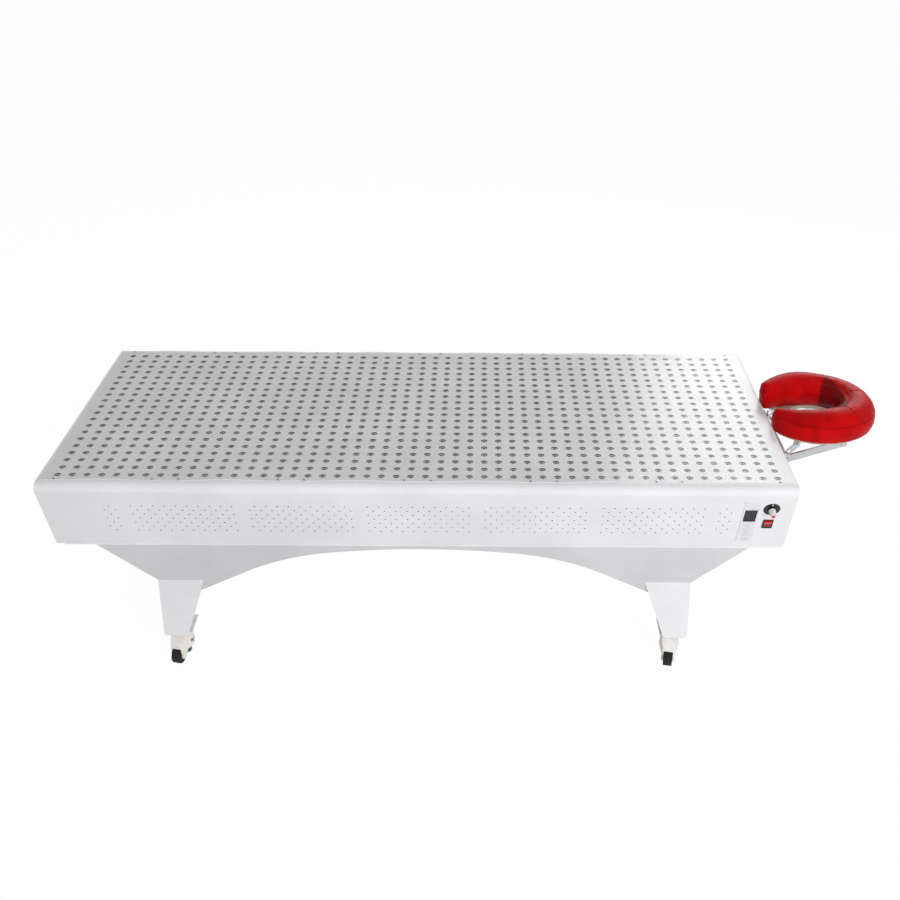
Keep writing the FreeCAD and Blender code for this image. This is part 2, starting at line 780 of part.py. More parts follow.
def mains_inlet():
    """The socket for the mains lead on the rear slope: a flanged body, a well and three blades in it."""
    body = new_body("mains_inlet")
    flange = sketch_on(body, "XY_Plane")
    draw(flange, rounded_box("(inlet_flange_width / 2)", "(inlet_flange_height / 2)", "inlet_corner"))
    pad(body, flange, "inlet_flange_thickness")
    box = sketch_on(body, "XY_Plane")
    draw_box(box, "0", "0", "inlet_body_width", "inlet_body_height")
    pad(body, box, "inlet_body_depth", back=True)
    well = sketch_on(body, "XY_Plane", lift="inlet_flange_thickness")
    draw_box(well, "0", "0", "inlet_well_width", "inlet_well_height")
    pocket(body, well, "inlet_well_depth")
    blades = sketch_on(body, "XY_Plane", lift="inlet_flange_thickness - inlet_well_depth")
    for index in (-1, 0, 1):
        draw_box(blades, f"{index} * inlet_pin_pitch", f"{1 - abs(index)} * inlet_pin_pitch / 2",
                 "inlet_blade_width", "inlet_blade_height")
    pad(body, blades, "inlet_well_depth - inlet_blade_recess")
    return on_slope(body, f"{HALF_LENGTH} - inlet_from_end", "inlet_slope", rear=True)


# Controls

def key_slopes():
    return [f"(key_first_slope + {index} * key_pitch)" for index in range(4)]


def keypad_plate():
    """The thin plate round the display and the keys."""
    body = new_body("keypad_plate")
    outline = sketch_on(body, "XY_Plane")
    draw(outline, rounded_box("(keypad_width / 2)", "(keypad_height / 2)", "keypad_corner"))
    draw_box(outline, "0", "keypad_slope - display_slope",
             "display_width + 2 * fit_gap", "display_height + 2 * fit_gap")
    for slope in key_slopes():
        draw_circle(outline, "0", f"keypad_slope - {slope}", "key_radius + fit_gap")
    pad(body, outline, "keypad_thickness")
    return on_slope(body, KEYPAD_X, "keypad_slope")


def display_module():
    """The display: a dark window through the panel, with a rim behind it that stops on the steel."""
    body = new_body("display_module")
    window = sketch_on(body, "XY_Plane", lift="keypad_thickness")
    draw_box(window, "0", "0", "display_width", "display_height")
    pad(body, window, "display_depth", back=True)
    rim = sketch_on(body, "XY_Plane", lift="-sheet_steel")
    draw_box(rim, "0", "0", "display_width + 2 * display_rim", "display_height + 2 * display_rim")
    pad(body, rim, "display_depth - sheet_steel - keypad_thickness", back=True)
    return on_slope(body, KEYPAD_X, "display_slope")


def key(number, slope):
    """A round push key: a cap in the plate's hole and a stem through the panel."""
    body = new_body(f"key_{number}")
    top = "(keypad_thickness + key_proud)"
    low = "(key_travel + running_gap)"
    profile = sketch_on(body, "XZ_Plane")
    draw(profile, [
        ("0", "-key_stem_length"),
        ("key_stem_radius", "-key_stem_length"),
        ("key_stem_radius", low),
        ("key_radius", low),
        ("key_radius", f"{top} - key_bevel"),
        ("key_radius - key_bevel", top),
        ("0", top),
    ])
    revolve(body, profile)
    return on_slope(body, KEYPAD_X, slope)


def dial_plate():
    """The round plate under the knob."""
    body = new_body("dial_plate")
    outline = sketch_on(body, "XY_Plane")
    draw_circle(outline, "0", "0", "dial_radius")
    draw_circle(outline, "0", "0", "bush_radius + fit_gap")
    pad(body, outline, "dial_thickness")
    return on_slope(body, DIAL_X, "dial_slope")


def knob():
    """The tapered knob with its shaft, and a seat in its tip for the coloured cap."""
    body = new_body("knob")
    foot = "(dial_thickness + knob_lift)"
    tip = f"({foot} + knob_height)"
    seat = f"({tip} - knob_cap_thickness)"
    profile = sketch_on(body, "XZ_Plane")
    draw(profile, [
        ("0", "-pot_depth + shaft_end_gap"),
        ("shaft_radius", "-pot_depth + shaft_end_gap"),
        ("shaft_radius", foot),
        ("knob_radius", foot),
        ("knob_radius", f"{foot} + knob_skirt"),
        ("knob_tip_radius", f"{tip} - knob_bevel"),
        ("knob_tip_radius - knob_bevel", tip),
        ("knob_cap_radius", tip),
        ("knob_cap_radius", seat),
        ("0", seat),
    ])
    revolve(body, profile)
    return on_slope(body, DIAL_X, "dial_slope")


def knob_cap():
    """The coloured cap in the knob's tip."""
    body = new_body("knob_cap")
    profile = sketch_on(body, "XZ_Plane")
    low = "(dial_thickness + knob_lift + knob_height - knob_cap_thickness)"
    draw(profile, [
        ("0", low),
        ("knob_cap_radius - running_gap", low),
        ("knob_cap_radius - running_gap", f"{low} + knob_cap_thickness"),
        ("knob_cap_radius - knob_bevel", f"{low} + knob_cap_thickness + knob_cap_dome"),
        ("0", f"{low} + knob_cap_thickness + knob_cap_dome"),
    ])
    revolve(body, profile)
    return on_slope(body, DIAL_X, "dial_slope")


def potentiometer():
    """The regulator behind the panel, with the bush that holds it and guides the shaft."""
    body = new_body("potentiometer")
    bore = "(shaft_radius + running_gap)"
    profile = sketch_on(body, "XZ_Plane")
    draw(profile, [
        ("0", "-sheet_steel - pot_depth"),
        ("pot_radius", "-sheet_steel - pot_depth"),
        ("pot_radius", "-sheet_steel"),
        ("bush_radius", "-sheet_steel"),
        ("bush_radius", "dial_thickness + bush_proud"),
        (bore, "dial_thickness + bush_proud"),
        (bore, "-pot_depth + bore_end_gap"),
        ("0", "-pot_depth + bore_end_gap"),
    ])
    revolve(body, profile)
    return on_slope(body, DIAL_X, "dial_slope")


def switch_body():
    """The switch's housing: a lip on the panel, a box behind it and the well that the rocker tilts in."""
    body = new_body("switch_body")
    lip = sketch_on(body, "XY_Plane")
    draw(lip, rounded_box("(switch_width / 2)", "(switch_height / 2)", "switch_corner"))
    pad(body, lip, "switch_lip")
    box = sketch_on(body, "XY_Plane")
    draw_box(box, "0", "0", "switch_width - 2 * switch_lip", "switch_height - 2 * switch_lip")
    pad(body, box, "switch_body_depth", back=True)
    well = sketch_on(body, "XY_Plane", lift="switch_lip")
    draw_box(well, "0", "0", "switch_width - 2 * switch_frame", "switch_height - 2 * switch_frame")
    pocket(body, well, "switch_well_depth")
    pivot = sketch_on(body, "YZ_Plane")
    draw_circle(pivot, "0", "-rocker_pivot_depth", "rocker_pivot_radius")
    pad(body, pivot, "switch_width - switch_frame", both=True)
    return on_slope(body, DIAL_X, "switch_slope")


def rocker():
    """The rocker: two faces that meet in a shallow valley, tilted so that its upper end stands out."""
    body = new_body("rocker")
    half = "(switch_height / 2 - switch_frame - rocker_end_gap)"
    rise = f"({half} * tan(rocker_tilt))"
    top = "(switch_lip + rocker_pivot_depth)"
    profile = sketch_on(body, "YZ_Plane")
    draw(profile, [
        (f"-{half}", f"{top} - rocker_edge"),
        ("-rocker_heel", "-rocker_heel"),
        ("rocker_heel", "-rocker_heel"),
        (half, f"{top} - rocker_edge"),
        (half, f"{top} + {rise} - rocker_brow"),
        ("0", f"{top} - rocker_valley"),
        (f"-{half}", f"{top} + {rise} - rocker_brow"),
    ])
    draw_circle(profile, "0", "0", "rocker_pivot_radius + running_gap")
    pad(body, profile, "switch_width - 2 * switch_frame - 2 * rocker_side_gap", both=True)
    lean = Rotation(Vector(1, 0, 0), 90 + value("side_lean") + value("rocker_tilt"))
    spot_y = f"-({TANGENT_Y} - switch_slope * sin(side_lean)) + rocker_pivot_depth * cos(side_lean)"
    spot_z = (f"{CASING_TOP} + {TANGENT_Z} - switch_slope * cos(side_lean)"
              " + rocker_pivot_depth * sin(side_lean)")
    return place(body, f"{BED_X} + {DIAL_X}", spot_y, spot_z, lean)


# Base

def apron(label, rear=False):
    """A leaning apron: diagonal ends, an arch between the legs and a flange under the tray."""
    body = new_body(label)
    end_x = f"({LEG_INNER} + arch_tongue * cos({APRON_LEAN}) * {LEG_TAPER} - fit_gap)"
    end_y = f"({APRON_SLOPE} + arch_tongue)"
    shoulder_x = f"({end_x} - arch_run)"
    shoulder_y = f"({end_y} - arch_run * tan(arch_end_angle))"
    mid_x = f"({shoulder_x} - arch_shoulder)"
    shoulder_radius = "(arch_shoulder / (sin(arch_end_angle) - sin(arch_mid_angle)))"
    mid_y = f"({shoulder_y} - {shoulder_radius} * (cos(arch_mid_angle) - cos(arch_end_angle)))"
    mid_radius = f"({mid_x} / sin(arch_mid_angle))"
    top_x = f"({HALF_LENGTH} - apron_end_inset)"
    top_y = f"-apron_steel * tan({APRON_LEAN})"
    sheet = sketch_on(body, "XZ_Plane", lift="apron_top_width / 2", middle=("0", PAN_UNDER), tilt=APRON_LEAN)
    draw(sheet, [
        (f"-{top_x}", top_y),
        (f"-{LEG_OUTER}", f"-{APRON_SLOPE}"),
        (f"-{LEG_INNER} + fit_gap", f"-{APRON_SLOPE}"),
        (f"-{end_x}", f"-{end_y}"),
        (f"-{shoulder_x}", f"-{shoulder_y}", f"-{shoulder_radius}"),
        (f"-{mid_x}", f"-{mid_y}", f"-{mid_radius}"),
        (mid_x, f"-{mid_y}", f"-{shoulder_radius}"),
        (shoulder_x, f"-{shoulder_y}"),
        (end_x, f"-{end_y}"),
        (f"{LEG_INNER} - fit_gap", f"-{APRON_SLOPE}"),
        (LEG_OUTER, f"-{APRON_SLOPE}"),
        (top_x, top_y),
    ])
    pad(body, sheet, "apron_steel", back=True)
    flange = sketch_on(body, "YZ_Plane")
    draw_box(flange, "-apron_top_width / 2 + apron_flange / 2", f"{PAN_UNDER} - apron_steel / 2",
             "apron_flange", "apron_steel")
    pad(body, flange, f"2 * ({top_x} - apron_steel)", both=True)
    return place(body, BASE_X, "0", CASING_TOP, Rotation(Vector(0, 0, 1), 180 if rear else 0))


def leg(label, end, rear=False):
    """A tapered leg cover: a flat face with narrow returns along its edges, open at the back."""
    body = new_body(label)
    foot_outer = f"({LEG_OUTER} + leg_flare)"
    foot_inner = f"({foot_outer} - leg_bottom_width)"
    low = f"-{LEG_HEIGHT}"
    flip = (end < 0) != rear
    wall = "sheet_steel"
    face = sketch_on(body, "XZ_Plane", lift="leg_stance / 2")
    draw(face, [
        (LEG_INNER, "0"),
        (f"{foot_inner} - leg_corner * {LEG_TAPER}", f"{low} + leg_corner", "leg_inner_corner"),
        (f"{foot_inner} + leg_corner", low),
        (f"{foot_outer} - leg_corner", low, "leg_corner"),
        (foot_outer, f"{low} + leg_corner"),
        (LEG_OUTER, "0"),
    ], flip)
    pad(body, face, "leg_return", back=True)
    inside = sketch_on(body, "XZ_Plane", lift="leg_stance / 2 - sheet_steel")
    draw(inside, [
        (f"{LEG_INNER} + {wall} - {wall} * {LEG_TAPER}", wall),
        (f"{foot_inner} - leg_corner * {LEG_TAPER} + {wall}", f"{low} + leg_corner"),
        (f"{foot_inner} + leg_corner", f"{low} + {wall}"),
        (f"{foot_outer} - leg_corner", f"{low} + {wall}"),
        (f"{foot_outer} - {wall}", f"{low} + leg_corner"),
        (f"{LEG_OUTER} - {wall}", wall),
    ], flip)
    pocket(body, inside, "leg_return")
    return place(body, BASE_X, "0", FOLD_Z, Rotation(Vector(0, 0, 1), 180 if rear else 0))


def end_frame(label, end):
    """A welded frame behind two legs: a beam under the tray, two posts and a plate over each caster."""
    body = new_body(label)
    top = f"({CASING_TOP} + {PAN_UNDER})"
    low = f"({CASTER_HEIGHT} + foot_plate_thickness)"
    outer = "(caster_stance / 2 + post_size / 2)"
    inner = "(caster_stance / 2 - post_size / 2)"
    outline = sketch_on(body, "YZ_Plane")
    draw(outline, [
        (f"-{outer}", low),
        (f"-{inner}", low),
        (f"-{inner}", f"{top} - beam_depth"),
        (inner, f"{top} - beam_depth"),
        (inner, low),
        (outer, low),
        (outer, top),
        (f"-{outer}", top),
    ])
    pad(body, outline, "post_size", both=True)
    depth = "(leg_stance - 2 * leg_return - caster_stance)"
    plates = sketch_on(body, "XY_Plane", lift=CASTER_HEIGHT)
    for side in ("-", ""):
        draw_box(plates, "0", f"{side}(caster_stance / 2)", "foot_plate_width", depth)
    pad(body, plates, "foot_plate_thickness")
    return place(body, f"{BASE_X} + {end} * {CASTER_X}", "0", "0")


# Levelling casters, each modelled over the origin with its wheel towards -Y

def caster_spots():
    """The name, the ends' signs and the swing of each caster."""
    signs = {"foot": -1, "head": 1, "front": -1, "rear": 1}
    for name, turn in CASTER_TURNS.items():
        end, side = name.split("_")
        yield name, signs[end], signs[side], turn


def at_caster(body, end, side, turn):
    return place(body, f"{BASE_X} + {end} * {CASTER_X}", f"{side} * caster_stance / 2", "0",
                 Rotation(Vector(0, 0, 1), turn))


def caster_plates():
    """The plates under the frames' feet, each with the bearing race and the pin that its caster turns on."""
    base = new_body("caster_plate_base")
    outline = sketch_on(base, "XY_Plane", lift=CASTER_HEIGHT)
    draw(outline, rounded_box("(caster_plate_size / 2)", "(caster_plate_size / 2)", "caster_plate_corner"))
    pad(base, outline, "caster_plate_thickness", back=True)
    race = sketch_on(base, "XZ_Plane")
    top = f"({CASTER_HEIGHT} - caster_plate_thickness)"
    draw(race, [
        ("0", f"{RACE_UNDER} - king_pin_length"),
        ("king_pin_radius", f"{RACE_UNDER} - king_pin_length"),
        ("king_pin_radius", RACE_UNDER),
        ("race_radius - race_bevel", RACE_UNDER),
        ("race_radius", f"{RACE_UNDER} + race_bevel"),
        ("race_radius", top),
        ("0", top),
    ])
    revolve(base, race)
    spots = [Placement(Vector(end * value(CASTER_X), side * value("caster_stance / 2"), 0), Rotation())
             for _, end, side, _ in caster_spots()]
    return place(group("caster_plates", base, spots), BASE_X, "0", "0")


def caster_housing(name, end, side, turn):
    """The cast housing: a round body over the foot, a narrower nose over the wheel and two axle lugs."""
    body = new_body(f"caster_housing_{name}")
    top = f"({RACE_UNDER} - fit_gap)"
    nose_y = f"(-{WHEEL_TRAIL} - nose_overhang)"
    body_x = "(housing_radius * cos(flank_angle))"
    body_y = "(-housing_radius * sin(flank_angle))"
    plan = sketch_on(body, "XY_Plane", lift=HOUSING_FLOOR)
    draw(plan, [
        ("-nose_half_width + nose_corner", nose_y),
        ("nose_half_width - nose_corner", nose_y, "nose_corner"),
        ("nose_half_width", f"{nose_y} + nose_corner"),
        (body_x, body_y, "housing_radius"),
        ("0", "housing_radius", "housing_radius"),
        (f"-{body_x}", body_y),
        ("-nose_half_width", f"{nose_y} + nose_corner", "nose_corner"),
    ])
    pad(body, plan, f"{top} - {HOUSING_FLOOR}")
    cheek = sketch_on(body, "YZ_Plane")
    draw(cheek, [
        (f"{nose_y} + lug_root", f"{HOUSING_FLOOR} + lug_root"),
        (f"-{WHEEL_TRAIL} - lug_radius", AXLE_Z, "lug_radius"),
        (f"-{WHEEL_TRAIL}", f"{AXLE_Z} - lug_radius", "lug_radius"),
        (f"-{WHEEL_TRAIL} + lug_radius * cos(lug_rake)", f"{AXLE_Z} - lug_radius * sin(lug_rake)"),
        ("-foot_pad_radius", f"{HOUSING_FLOOR} + lug_root"),
    ])
    pad(body, cheek, "2 * nose_half_width", both=True)
    hood = sketch_on(body, "YZ_Plane")
    draw(hood, [
        (f"{nose_y} - hood_margin", f"{top} + hood_margin"),
        (f"{nose_y} - hood_margin", f"{top} - nose_drop - hood_margin"),
        (nose_y, f"{top} - nose_drop"),
        ("-race_radius - race_bevel / 2", top),
        ("-race_radius - race_bevel / 2", f"{top} + hood_margin"),
    ])
    pocket(body, hood, "4 * housing_radius", both=True)
    well = sketch_on(body, "YZ_Plane")
    draw_circle(well, f"-{WHEEL_TRAIL}", AXLE_Z, "wheel_radius + wheel_well_gap")
    pocket(body, well, "wheel_width + 2 * wheel_side_gap", both=True)
    cavity_top = f"({THUMB_BOTTOM} + thumb_height + thumb_gap)"
    cavity_low = f"({THUMB_BOTTOM} - thumb_gap)"
    bore = sketch_on(body, "XY_Plane", lift=top)
    draw_circle(bore, "0", "0", "king_pin_radius + running_gap")
    pocket(body, bore, f"{top} - {cavity_top}")
    stem_guide = f"({FOOT_STEM_TOP} + stem_top_gap / 2)"
    guide = sketch_on(body, "XY_Plane", lift=stem_guide)
    draw_circle(guide, "0", "0", "foot_stem_radius + fit_gap")
    pocket(body, guide, f"{stem_guide} - {cavity_top}")
    cavity = sketch_on(body, "XY_Plane", lift=cavity_top)
    draw_circle(cavity, "0", "0", "thumb_radius + 2 * thumb_gap")
    pocket(body, cavity, f"{cavity_top} - {cavity_low}")
    hollow = sketch_on(body, "XY_Plane", lift=cavity_low)
    draw_circle(hollow, "0", "0", "foot_pad_radius + 2 * wheel_foot_gap")
    pocket(body, hollow, f"{cavity_low} - {HOUSING_FLOOR} + wheel_foot_gap")
    windows = sketch_on(body, "YZ_Plane")
    draw_box(windows, "0", f"({cavity_low} + {cavity_top}) / 2",
             "thumb_radius", "thumb_height - 2 * thumb_gap")
    pocket(body, windows, "4 * housing_radius", both=True)
    axle = sketch_on(body, "YZ_Plane")
    draw_circle(axle, f"-{WHEEL_TRAIL}", AXLE_Z, "axle_radius")
    pad(body, axle, "2 * nose_half_width + 2 * axle_proud", both=True)
    return at_caster(body, end, side, turn)


def caster_wheel(name, end, side, turn):
    """The wheel: a rounded tread, dished sides and a bore that runs on the axle."""
    body = new_body(f"caster_wheel_{name}")
    half = "(wheel_width / 2)"
    bore = "(axle_radius + running_gap)"
    profile = sketch_on(body, "XZ_Plane", lift=WHEEL_TRAIL, middle=("0", AXLE_Z))
    draw(profile, [
        (f"-{half}", bore),
        (half, bore),
        (half, "axle_radius + wheel_hub"),
        (f"{half} - wheel_dish", "axle_radius + wheel_hub + wheel_dish"),
        (f"{half} - wheel_dish", "wheel_radius - wheel_rim - wheel_dish"),
        (half, "wheel_radius - wheel_rim"),
        (half, "wheel_radius - wheel_round", "wheel_round"),
        (f"{half} - wheel_round", "wheel_radius"),
        (f"-{half} + wheel_round", "wheel_radius", "wheel_round"),
        (f"-{half}", "wheel_radius - wheel_round"),
        (f"-{half}", "wheel_radius - wheel_rim"),
        (f"-{half} + wheel_dish", "wheel_radius - wheel_rim - wheel_dish"),
        (f"-{half} + wheel_dish", "axle_radius + wheel_hub + wheel_dish"),
        (f"-{half}", "axle_radius + wheel_hub"),
    ])
    revolve(body, profile, "H_Axis")
    return at_caster(body, end, side, turn)


def caster_thumb_dial(name, end, side, turn):
    """The thumb dial: a grooved ring that works as the nut of the levelling foot."""
    body = new_body(f"caster_dial_{name}")
    ring = sketch_on(body, "XY_Plane", lift=THUMB_BOTTOM)
    draw_circle(ring, "0", "0", "thumb_radius")
    draw_circle(ring, "0", "0", "foot_stem_radius + running_gap")
    pad(body, ring, "thumb_height")
    groove = sketch_on(body, "XY_Plane", lift=f"{THUMB_BOTTOM} + thumb_height")
    draw_box(groove, "thumb_radius", "0", "2 * groove_depth", "groove_width")
    cut = pocket(body, groove, "thumb_height")
    ring_pattern(body, cut, "thumb_grooves")
    return at_caster(body, end, side, turn)


def caster_foot(name, end, side, turn):
    """The levelling foot: a round pad under a screw stem, drawn up clear of the floor."""
    body = new_body(f"caster_foot_{name}")
    top = "(foot_pad_lift + foot_pad_height)"
    profile = sketch_on(body, "XZ_Plane")
    draw(profile, [
        ("0", "foot_pad_lift"),
        ("foot_pad_radius - foot_bevel", "foot_pad_lift"),
        ("foot_pad_radius", "foot_pad_lift + foot_bevel"),
        ("foot_pad_radius", f"{top} - foot_slope"),
        ("foot_stem_radius + foot_collar", top),
        ("foot_stem_radius", top),
        ("foot_stem_radius", f"{FOOT_STEM_TOP} - foot_bevel"),
        ("foot_stem_radius - foot_bevel", FOOT_STEM_TOP),
        ("0", FOOT_STEM_TOP),
    ])
    revolve(body, profile)
    return at_caster(body, end, side, turn)


# Face cradle. X runs out from the bed's head end and Z up from the casing's top

def at_head(piece):
    return place(piece, f"{BED_X} + {HALF_LENGTH}", "0", CASING_TOP)


def rod_sockets():
    """Two flanged tubes in the head end, which take the cradle's rods."""
    base = new_body("socket_base")
    profile = sketch_on(base, "XY_Plane")
    bore = "(rod_radius + running_gap)"
    outer = "(rod_radius + socket_wall)"
    draw(profile, [
        ("-rod_insert - socket_tail", bore),
        ("socket_flange", bore),
        ("socket_flange", "socket_flange_radius"),
        ("0", "socket_flange_radius"),
        ("0", outer),
        ("-rod_insert - socket_tail", outer),
    ])
    revolve(base, profile, "H_Axis")
    spots = [Placement(Vector(0, side * value(LUG_Y), -value("rod_depth")), Rotation()) for side in (-1, 1)]
    return at_head(group("rod_sockets", base, spots))


def lug_outline(first, second, radius):
    """The points of a bar with round ends about two pivots, in the plane of X and Z."""
    run = f"sqrt(({second[0]} - {first[0]})^2 + ({second[1]} - {first[1]})^2)"
    along = (f"(({second[0]} - {first[0]}) / {run})", f"(({second[1]} - {first[1]}) / {run})")

    def offset(point, forward, left):
        return (f"{point[0]} + {radius} * ({forward} * {along[0]} - ({left}) * {along[1]})",
                f"{point[1]} + {radius} * ({forward} * {along[1]} + ({left}) * {along[0]})")

    return [
        offset(first, 0, -1),
        (*offset(second, 0, -1), radius),
        (*offset(second, 1, 0), radius),
        offset(second, 0, 1),
        (*offset(first, 0, 1), radius),
        (*offset(first, -1, 0), radius),
    ]


BAR_MIDDLE = ("base_bar_offset", "(-rod_depth)")
ARM_FOOT = ("arm_foot_offset", "(-arm_foot_depth)")
ARM_HEAD = ("arm_head_offset", "(-pivot_depth)")
CLAMP = ("clamp_offset", "(-clamp_depth)")
STRUT_HEAD = ("strut_head_offset", "(-pivot_depth)")


def cradle_base():
    """The cradle's foot: two rods, a cross bar and an upright lug at each side for arm and clamp."""
    body = new_body("cradle_base")
    bar = sketch_on(body, "XZ_Plane")
    draw_box(bar, "base_bar_offset", "-rod_depth", "base_bar_width", "base_bar_height")
    pad(body, bar, "rod_spacing + plate_thickness", both=True)
    rod_end = "(base_bar_offset - base_bar_width / 4)"
    rods = sketch_on(body, "YZ_Plane", lift=rod_end)
    for side in ("-", ""):
        draw_circle(rods, f"{side}{LUG_Y}", "-rod_depth", "rod_radius")
    pad(body, rods, f"{rod_end} + rod_insert", back=True)
    for side in ("-", ""):
        lug = sketch_on(body, "XZ_Plane", lift=f"{side}{LUG_Y}")
        draw(lug, lug_outline(ARM_FOOT, CLAMP, "lug_round"))
        pad(body, lug, "plate_thickness", both=True)
        link = sketch_on(body, "XZ_Plane", lift=f"{side}{LUG_Y}")
        draw(link, lug_outline(BAR_MIDDLE, ARM_FOOT, "(base_bar_height / 2)"))
        pad(body, link, "plate_thickness", both=True)
        holes = sketch_on(body, "XZ_Plane", lift=f"{side}{LUG_Y}")
        draw_circle(holes, *ARM_FOOT, "pivot_radius + running_gap")
        draw_circle(holes, *CLAMP, "clamp_radius + running_gap")
        pocket(body, holes, "2 * plate_thickness", both=True)
    return at_head(body)


def cradle_arms():
    """The two long arms, inside the base's lugs, from its pivots to the platform's far pivots."""
    base = new_body("arm_base")
    bar = sketch_on(base, "XZ_Plane")
    draw(bar, lug_outline(ARM_FOOT, ARM_HEAD, "(arm_width / 2)"))
    draw_circle(bar, *ARM_FOOT, "pivot_radius + running_gap")
    draw_circle(bar, *ARM_HEAD, "pivot_radius + running_gap")
    pad(base, bar, "arm_thickness", both=True)
    inset = "(plate_thickness / 2 + fit_gap + arm_thickness / 2)"
    spots = [Placement(Vector(0, side * value(f"{LUG_Y} - {inset}"), 0), Rotation()) for side in (-1, 1)]
    return at_head(group("cradle_arms", base, spots))


def cradle_pins():
    """The arms' pivot pins through the base's lugs and the platform's lugs, each with two heads."""
    inner = value(f"{LUG_Y} - plate_thickness / 2 - 2 * fit_gap - arm_thickness")
    outer = value(f"{LUG_Y} + plate_thickness / 2 + fit_gap")
    radius = value("pivot_radius")
    head = value("pin_head")
    piece = doc.addObject("Part::Feature", "cradle_pins")
    piece.Label = "cradle_pins"
    solids = []
    for side in (-1, 1):
        for spot in (ARM_FOOT, ARM_HEAD):
            foot = Vector(value(spot[0]), side * inner, value(spot[1]))
            out = Vector(0, side, 0)
            shank = Part.makeCylinder(radius, outer - inner, foot, out)
            heads = [Part.makeCylinder(radius + head, head, foot - out * head, out),
                     Part.makeCylinder(radius + head, head, foot + out * (outer - inner), out)]
            solids.append(shank.multiFuse(heads).removeSplitter())
    piece.Shape = Part.makeCompound(solids)
    return at_head(piece)


def platform_outline(sketch):
    """A horseshoe about the cushion's middle: an outer and an inner round, open towards the bed."""
    outer = "(pad_half_width - platform_rim)"
    inner = "platform_hole_radius"
    centre = "pad_centre_from_end"

    def end(radius, side):
        return f"{centre} - {radius} * cos(pad_opening_angle)", f"{side}{radius} * sin(pad_opening_angle)"

    draw(sketch, [
        (*end(outer, "-"), outer),
        (centre, f"-{outer}", outer),
        (f"{centre} + {outer}", "0", outer),
        (centre, outer, outer),
        end(outer, ""),
        (*end(inner, ""), f"-{inner}"),
        (centre, inner, f"-{inner}"),
        (f"{centre} + {inner}", "0", f"-{inner}"),
        (centre, f"-{inner}", f"-{inner}"),
        end(inner, "-"),
    ])


def cradle_platform():
    """The plate under the cushion, with a lug for each arm and each strut below it."""
    body = new_body("cradle_platform")
    plate = sketch_on(body, "XY_Plane", lift=CUSHION_UNDER)
    platform_outline(plate)
    pad(body, plate, "platform_thickness", back=True)
    under = f"({CUSHION_UNDER} - platform_thickness)"
    for side in ("-", ""):
        for spot in (ARM_HEAD, STRUT_HEAD):
            lug = sketch_on(body, "XZ_Plane", lift=f"{side}{LUG_Y}")
            draw(lug, [
                (f"{spot[0]} - lug_round", f"{under} + weld_overlap"),
                (f"{spot[0]} - lug_round", spot[1], "lug_round"),
                (spot[0], f"{spot[1]} - lug_round", "lug_round"),
                (f"{spot[0]} + lug_round", spot[1]),
                (f"{spot[0]} + lug_round", f"{under} + weld_overlap"),
            ])
            pad(body, lug, "plate_thickness", both=True)
            hole = sketch_on(body, "XZ_Plane", lift=f"{side}{LUG_Y}")
            draw_circle(hole, *spot, "pivot_radius + running_gap")
            pocket(body, hole, "2 * plate_thickness", both=True)
    return at_head(body)


def cradle_struts():
    """The short struts outside the lugs: a pivot stud at the platform and a slot for the clamp."""
    base = new_body("strut_base")
    run = "sqrt((strut_head_offset - clamp_offset)^2 + (clamp_depth - pivot_depth)^2)"
    back_x = f"((clamp_offset - strut_head_offset) / {run})"
    back_z = f"((pivot_depth - clamp_depth) / {run})"
    tail = (f"(clamp_offset + strut_tail * {back_x})", f"(-clamp_depth + strut_tail * {back_z})")
    drop = "(strut_tail - slot_end_wall)"
    slot_low = (f"(clamp_offset + {drop} * {back_x})", f"(-clamp_depth + {drop} * {back_z})")
    slot_high = (f"(clamp_offset - slot_reach * {back_x})", f"(-clamp_depth - slot_reach * {back_z})")
    bar = sketch_on(base, "XZ_Plane")
    draw(bar, lug_outline(tail, STRUT_HEAD, "(strut_width / 2)"))
    draw(bar, lug_outline(slot_low, slot_high, "(clamp_radius + slot_gap)"))
    pad(base, bar, "plate_thickness", both=True)
    stud = sketch_on(base, "XZ_Plane")
    draw_circle(stud, *STRUT_HEAD, "pivot_radius")
    pad(base, stud, "3 * plate_thickness + 2 * fit_gap", both=True)
    offset = value(f"{LUG_Y} + plate_thickness + fit_gap")
    spots = [Placement(Vector(0, side * offset, 0), Rotation()) for side in (-1, 1)]
    return at_head(group("cradle_struts", base, spots))


CLAMP_REACH = f"({LUG_Y} + 1.5 * plate_thickness + 2 * fit_gap)"
LEVER_Y = f"({CLAMP_REACH} + clamp_head + fit_gap + lever_width / 2)"


def clamp_rod():
    """The rod that clamps both struts to the base, with two heads and a tongue that holds the lever."""
    body = new_body("clamp_rod")
    rod = sketch_on(body, "XZ_Plane")
    draw_circle(rod, *CLAMP, "clamp_radius")
    pad(body, rod, f"2 * {CLAMP_REACH}", both=True)
    for lift, away in ((CLAMP_REACH, False), (f"-{CLAMP_REACH}", True)):
        head = sketch_on(body, "XZ_Plane", lift=lift)
        draw_circle(head, *CLAMP, "clamp_radius + clamp_head_rim")
        pad(body, head, "clamp_head", back=away)
    tongue = sketch_on(body, "YZ_Plane", lift="clamp_offset")
    draw(tongue, [
        (f"{CLAMP_REACH} + weld_overlap", "-clamp_depth - clamp_radius"),
        (LEVER_Y, "-clamp_depth - clamp_radius", "clamp_radius"),
        (f"{LEVER_Y} + clamp_radius", "-clamp_depth", "clamp_radius"),
        (LEVER_Y, "-clamp_depth + clamp_radius"),
        (f"{CLAMP_REACH} + weld_overlap", "-clamp_depth + clamp_radius"),
    ])
    draw_circle(tongue, LEVER_Y, "-clamp_depth", "lever_pin_radius + running_gap")
    pad(body, tongue, "tongue_thickness", both=True)
    return at_head(body)


